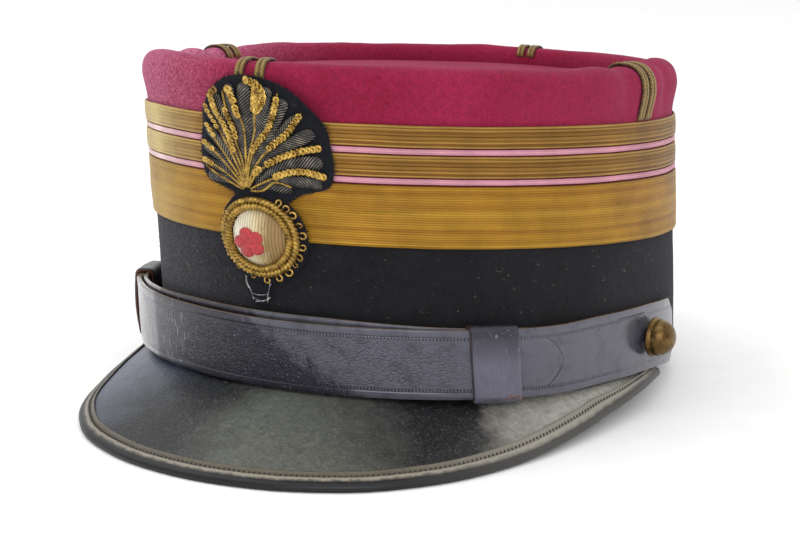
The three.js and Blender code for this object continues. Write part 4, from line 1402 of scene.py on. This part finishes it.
def keeper_hole(angle):
    """How a keeper's hole fits round the halves: nearest and furthest off, lowest and highest."""
    room, inner, outer = KEEPER["room"], STRAP["inner"], STRAP["outer"]
    near, far, inner_low, outer_low = (eased_at(STRAP_LIE, angle, column) for column in (1, 2, 3, 4))
    high = max(inner_low + inner["width"], outer_low + outer["width"]) + room * 0.5
    return near - room, far + outer["thick"] + room * 0.6, outer_low - room, high


def keeper(name, start, end, loose):
    width = circumference(end - start)
    leather = KEEPER["leather"]
    section = by_point(
        [(0.25, leather)] + [(mix(0.4, width - 0.4, i / 8), leather) for i in range(9)]
        + [(width - 0.1, leather - 0.12), (width, leather - 0.35), (width, 0.2), (width - 0.2, 0)]
        + [(mix(width - 0.2, 0.2, i / 4), 0) for i in range(1, 5)]
        + [(0, 0.2), (0, leather - 0.35), (0.1, leather - 0.12), (0.25, leather)]
    )

    def place(u, v):
        over, out = section(v)
        angle = mix(start, end, over / width)
        near, far, low, high = keeper_hole(angle)
        x, y, out_x, out_y = keeper_way(far - near, high - low)(u)
        out += 0.12 * lumps((angle, y * 20, x * 9), 3, 14) * (out > 0.5)
        out += KEEPER["slack"] * loose * math.sin(math.pi * y) * x
        return on_side(angle, mix(low, high, y) + out_y * out, mix(near, far, x) + out_x * out)

    def cut(u, v):
        over, out = section(v)
        inside = out > leather - 0.2
        return u * 60, mix(5, 17, over / width) if inside else -0.6

    laid_piece(name + "_loop", 90, section.count, place, cut, keeper_leather, "keeper_leather", name)


for kept in KEEPERS:
    keeper(kept["name"], kept["from"], kept["to"], kept["loose"])

# A few waxed stitches close each keeper at the lower corner nearest its button.
brown_thread = mottled(
    "red_brown_waxed_thread", "#4a2b1c", "#8a5f42", 900.0, 3.0, 0.4, 0.65, roughness=0.5
)
bead = bmesh.new()
bmesh.ops.create_icosphere(bead, subdivisions=2, radius=1)
stitch = shape_of("stitch", bead)
closing = bmesh.new()
for kept in KEEPERS:
    toward = math.copysign(1, kept["from"])
    corner = kept["to"] if toward > 0 else kept["from"]
    for number in range(5):
        angle = corner - toward * (0.5 + 0.62 * number)
        height = eased_at(STRAP_LIE, angle, 4) + 0.5 + 0.5 * (number % 2)
        off = keeper_hole(angle)[1] + KEEPER["leather"]
        at = in_row(on_side(angle, height, off))
        turned = Matrix.Rotation(math.radians(angle), 4, "Z") @ Matrix.Rotation(0.5 * number, 4, "Y")
        size = Matrix.Diagonal((0.8, 0.3, 0.3, 1))
        repeated(closing, stitch, Matrix.Translation(at) @ turned @ MILLIMETRES @ size)
piece("keeper_closing_stitches", closing, brown_thread, "keeper_leather")

# ---- Buttons ----
# Stamped brass buttons on short shanks, high domed, with a rolled rim. The brass has browned.

BUTTON = {"angle": 87, "height": 15, "gap": 0.1}
aged_brass = surface("browned_stamped_brass", metallic=1.0, roughness=0.3)
cloud = noise_of(in_object(aged_brass), 130.0, 5.0, 0.65)
finished(
    aged_brass, base_color=toned(cloud, [(0.3, "#3f2f1a"), (0.52, "#6f5835"), (0.75, "#96835f")]),
    roughness=ramped(cloud, *SPREAD, 0.22, 0.42), normal=relief(cloud, 0.2, 0.0003),
)


def button(name, sign, half):
    turns = [math.radians(8 * i) for i in range(1, 11)]
    dome = [(6.3 * math.cos(turn) ** 0.85, 2.9 + 6.5 * math.sin(turn) ** 0.9) for turn in turns]
    shank, rim = [(2.6, -0.4), (2.6, 1.7)], [(6.2, 1.75), (6.65, 1.95), (6.75, 2.3), (6.6, 2.7), (6.25, 2.85)]
    mesh = bmesh.new()
    corners = [mesh.verts.new((x, 0, z)) for x, z in shank + rim + dome + [(0, 9.4)]]
    edges = [mesh.edges.new(pair) for pair in zip(corners, corners[1:])]
    spun(mesh, corners + edges, math.tau, 56, use_merge=True)
    bmesh.ops.remove_doubles(mesh, verts=mesh.verts, dist=1e-4)
    bmesh.ops.holes_fill(mesh, edges=[edge for edge in mesh.edges if edge.is_boundary])
    for vert in mesh.verts:
        vert.co *= 1 + 0.004 * lumps(vert.co, 4, 20)
    off_column = LIE_COLUMNS[half][0]
    off = linear_at(STRAP_LIE, sign * BUTTON["angle"], off_column) + STRAP[half]["thick"] + BUTTON["gap"]
    seat = on_side(sign * BUTTON["angle"], BUTTON["height"], off)
    out = in_row(on_side(sign * BUTTON["angle"], BUTTON["height"], off + 1)) - in_row(seat)
    turn = out.to_track_quat("Z", "Y").to_matrix().to_4x4()
    placed = Matrix.Translation(in_row(seat)) @ turn @ MILLIMETRES
    bmesh.ops.transform(mesh, matrix=placed, verts=mesh.verts)
    piece(name + "_stamped", mesh, aged_brass, "brass", name)


button("button_left", 1, "outer")
button("button_right", -1, "inner")

# ---- Peak ----
# One piece of thick black leather sewn under the band's front edge, bulging a little and
# drooping at the sides. Its varnish is dulled, grained and scuffed, with painted reflections in grey,
# blue-grey and black.

PEAK = {"angle": 92, "leather": 2.4, "crown": 1.2, "deep": 40, "tuck_from": 0.8, "tuck": 3.4}
BINDING = 1.9
# By share from the front to the end: out from the band, lift off the surface, seam height.
PEAK_LINE = [
    (0, 41.4, 0, 1), (0.12, 40.6, 0, 0.9), (0.25, 37.2, 0, 0.6), (0.375, 29.6, 0, 0.2),
    (0.5, 19.8, 0.3, -0.1), (0.625, 11.4, 2.4, -0.1), (0.75, 5.2, 5.2, 0.5), (0.875, 1.6, 7.2, 2),
    (1, -1.7, 7.9, 2.6),
]


def peak_row(share, column):
    weights = ((-0.03, 0.25), (0, 0.5), (0.03, 0.25))
    return sum(linear_at(PEAK_LINE, abs(share + d), column) * weight for d, weight in weights)


def peak_edge(share):
    """The middle of the binding, by share of the way from the front (0) to the end (1 or -1)."""
    edge = on_side(share * PEAK["angle"], 0, GAP + BINDING + peak_row(share, 1))
    high = peak_row(share, 2) + BINDING - HAT_LIFT - FLATTENED
    edge.z = (high + edge.y * math.sin(REST_TILT)) / math.cos(REST_TILT)
    return edge


def peak_point(x, share, under):
    """A point of the leather: along the edge, from the seam to the edge, and its two faces."""
    tuck = PEAK["tuck"] * step(abs(x), PEAK["tuck_from"], 1)
    start = on_side(x * PEAK["angle"], peak_row(x, 3), GAP - tuck)
    end = peak_edge(x)
    run = math.hypot(end.x - start.x, end.y - start.y)
    at = start.lerp(end, share)
    fall = (start.z - end.z) / run
    slope = math.hypot(1, fall)
    crowned = PEAK["crown"] * 4 * share * (1 - share) * slope * min(run / PEAK["deep"], 1)
    at.z += crowned + PEAK["leather"] / 2 * slope * share - under * PEAK["leather"] * slope
    return at, run


peak_leather = surface(
    "dulled_black_peak_leather", specular_ior_level=0.3, coat_weight=0.12, coat_roughness=0.25
)
along, across, _ = apart(in_cut(peak_leather))
place = in_object(peak_leather)
clouds = noise_of(place, 34.0, 6.0, 0.65)
grain = add(place.id_data, "TexVoronoi", {"Vector": place, "Scale": 950.0}).outputs[0]
scuffs = noise_of(place, 420.0, 6.0, 0.75, 0.8)
# Painted reflections in the varnish: blue-grey to the wearer's right, grey-green over the
# middle, black under the keeper where it mirrors the dark strap, and pale grey beyond it.
swirled = maths("ADD", ramped(along, -0.15, 0.15), ramped(clouds, *SPREAD, -0.03, 0.03))
PAINTED_REFLECTIONS = [
    (0.1, "#49536a"), (0.33, "#394152"), (0.41, "#121418"), (0.46, "#16181a"), (0.54, "#53564f"),
    (0.6, "#494b46"), (0.67, "#111113"), (0.73, "#151517"), (0.765, "#7d7b73"), (0.85, "#94928a"),
]
# The under face is plain: its cut coordinate across runs from 50 mm up.
painted_reflection_faces = blend(ramped(across, 0.044, 0.048), toned(swirled, PAINTED_REFLECTIONS), colour("#1a1b19"))
# The scuffs make the painted reflections lighter and darker in patches.
aged = scaled(painted_reflection_faces, ramped(scuffs, *SPREAD, 0.6, 1.35))
reflections_and_scuffs = blend(toned(scuffs, [(0.6, 0.0), (0.75, 0.4)]), aged, colour("#7c7b74"))
flecks = toned(noise_of(place, 1500.0, 2.0), [(0.57, 0.0), (0.78, 0.2)])
finished(
    peak_leather, base_color=blend(flecks, reflections_and_scuffs, colour("#a2a5a8")),
    roughness=ramped(clouds, *SPREAD, 0.34, 0.52), normal=relief(maths("ADD", grain, scuffs), 0.32, 0.0004),
)

PEAK_CUT = {"deep": 42, "under": 50}
PEAK_SECTION = by_point(
    [(i / 30, 0) for i in range(31)] + [(1, 1)] + [(1 - i / 14, 1) for i in range(1, 15)] + [(0, 0)]
)


def on_peak(u, v):
    share, under = PEAK_SECTION(v)
    at, run = peak_point(mix(-1, 1, u), share * 0.985, under)
    at.z += (0.16 * lumps(at, 24, 15) + 0.05 * lumps(at, 6, 16)) * (1 - under)
    return at


def peak_cut(u, v):
    share, under = PEAK_SECTION(v)
    return circumference(mix(-1, 1, u) * PEAK["angle"]), share * PEAK_CUT["deep"] + under * PEAK_CUT["under"]


laid_piece(
    "peak_leather_sheet", 260, PEAK_SECTION.count, on_peak, peak_cut, peak_leather, "peak_leather", "peak"
)

# ---- Peak binding ----
# A narrow strip of leather folded round the peak's edge and stitched through: an inner ridge,
# a channel of close dark stitches, an outer ridge, and the rounded fold.

binding_leather = surface(
    "worn_binding_leather", roughness=0.45, specular_ior_level=0.3, coat_weight=0.08, coat_roughness=0.25
)
cut = in_cut(binding_leather)
along, across, _ = apart(cut)
wear = noise_of(cut, 300.0, 5.0, 0.7)
moved = maths("ADD", across, ramped(wear, *SPREAD, -0.0004, 0.0004))
across = ramped(moved, 0.0, 0.008)
# Tones across the fold from its inner edge: a painted shadow where it meets the peak, pale ridges either side
# of the darker stitch channel, and black over the rounded fold.
BINDING_TONES = [
    (0.0, "#141210"), (0.05, "#29251e"), (0.1, "#5f594c"), (0.18, "#544e41"), (0.22, "#4a4438"),
    (0.34, "#544d40"), (0.39, "#6f6a5c"), (0.45, "#8a8477"), (0.52, "#47433c"), (0.6, "#121216"),
    (1.0, "#0e0e12"),
]
# Toward the wearer's left the whole strip carries a painted pale grey reflection, as the peak beside it does.
pale_reflection_share = times(ramped(along, 0.06, 0.11, 0.0, 0.6), ramped(across, 0.66, 0.56, 0.25, 1.0))
pale = blend(pale_reflection_share, toned(across, BINDING_TONES), colour("#8d8a80"))
finished(binding_leather, base_color=pale, normal=relief(wear, 0.3, 0.0003))

# Its section as (out, high) about its middle. Where out is below 0 it lies over the leather,
# with a height of 1 or -1 on the leather's upper or under face.
FOLD = [
    (-3.3, 1.1), (-3.25, 1.5), (-3.0, 1.75), (-2.6, 1.8), (-2.25, 1.65), (-2.05, 1.4), (-1.7, 1.25),
    (-1.3, 1.4), (-1.0, 1.75), (-0.6, 1.9), (-0.1, 1.85), (0.3, 1.6), (0.8, 1.4), (1.3, 1.1),
    (1.6, 0.6), (1.8, 0), (1.65, -0.7), (1.2, -1.25), (0.5, -1.65), (-0.6, -1.6), (-2.0, -1.5),
    (-3.2, -1.4), (-3.2, -1.05), (-0.6, -1.05), (-0.5, 0.2), (-0.6, 0.95), (-2.4, 0.95), (-3.3, 1.1),
]
fold = by_point(FOLD)


def on_fold(x, across, high):
    """A point of the fold: over the leather it follows the leather's own faces."""
    at = peak_edge(x)
    along = peak_edge(x + 0.004) - peak_edge(x - 0.004)
    out = Vector((along.y, -along.x, 0)).normalized()
    _, run = peak_point(x, 1, 0)
    across *= min(max((run - 1) / 7, 0.25), 1) if across < 0 else 1
    under = 1 if high < 0 else 0
    face, _ = peak_point(x, max(1 + across / run, 0), under) if across < 0 else (at, 0)
    follow = face.z - at.z + high + (1 if under else -1)
    return at + out * across + Vector((0, 0, mix(high, follow, step(-across, 0, 0.9))))


BINDING_ANGLE = 125  # the edge is this much longer than the seam: degrees round the hat
laid_piece(
    "peak_folded_binding", 420, fold.count, lambda u, v: on_fold(mix(-1, 1, u) * 0.999, *fold(v)),
    lambda u, v: (circumference(mix(-1, 1, u) * BINDING_ANGLE), fold.run(v)), binding_leather, "peak_leather",
    "peak_binding",
)

STITCH = {"pitch": 1.6, "length": 0.62, "half": 0.3, "slant": 52, "across": -1.7, "high": 1.35}
waxed_thread = mottled(
    "dark_waxed_thread", "#080706", "#1d1914", 800.0, 3.0, 0.4, 0.65, roughness=0.45
)
stitches = bmesh.new()
last = in_row(peak_edge(-0.93))
stitch_at = -0.93
while stitch_at < 0.93:
    at = in_row(on_fold(stitch_at, STITCH["across"], STITCH["high"]))
    if (at - last).length * 1000 >= STITCH["pitch"]:
        last = at
        along = (in_row(on_fold(stitch_at + 0.003, STITCH["across"], STITCH["high"])) - at).normalized()
        out = (in_row(on_fold(stitch_at, STITCH["across"] + 0.5, STITCH["high"])) - at).normalized()
        up = along.cross(out).normalized()
        up = up if up.z > 0 else -up
        basis = Matrix((along, up.cross(along), up)).transposed().to_4x4()
        size = Matrix.Diagonal((STITCH["length"], STITCH["half"], STITCH["half"] * 0.8, 1))
        spin = Matrix.Rotation(math.radians(STITCH["slant"]), 4, "Z")
        repeated(stitches, stitch, Matrix.Translation(at) @ basis @ spin @ MILLIMETRES @ size)
    stitch_at += 0.0004
piece("peak_binding_stitches", stitches, waxed_thread, "peak_leather")
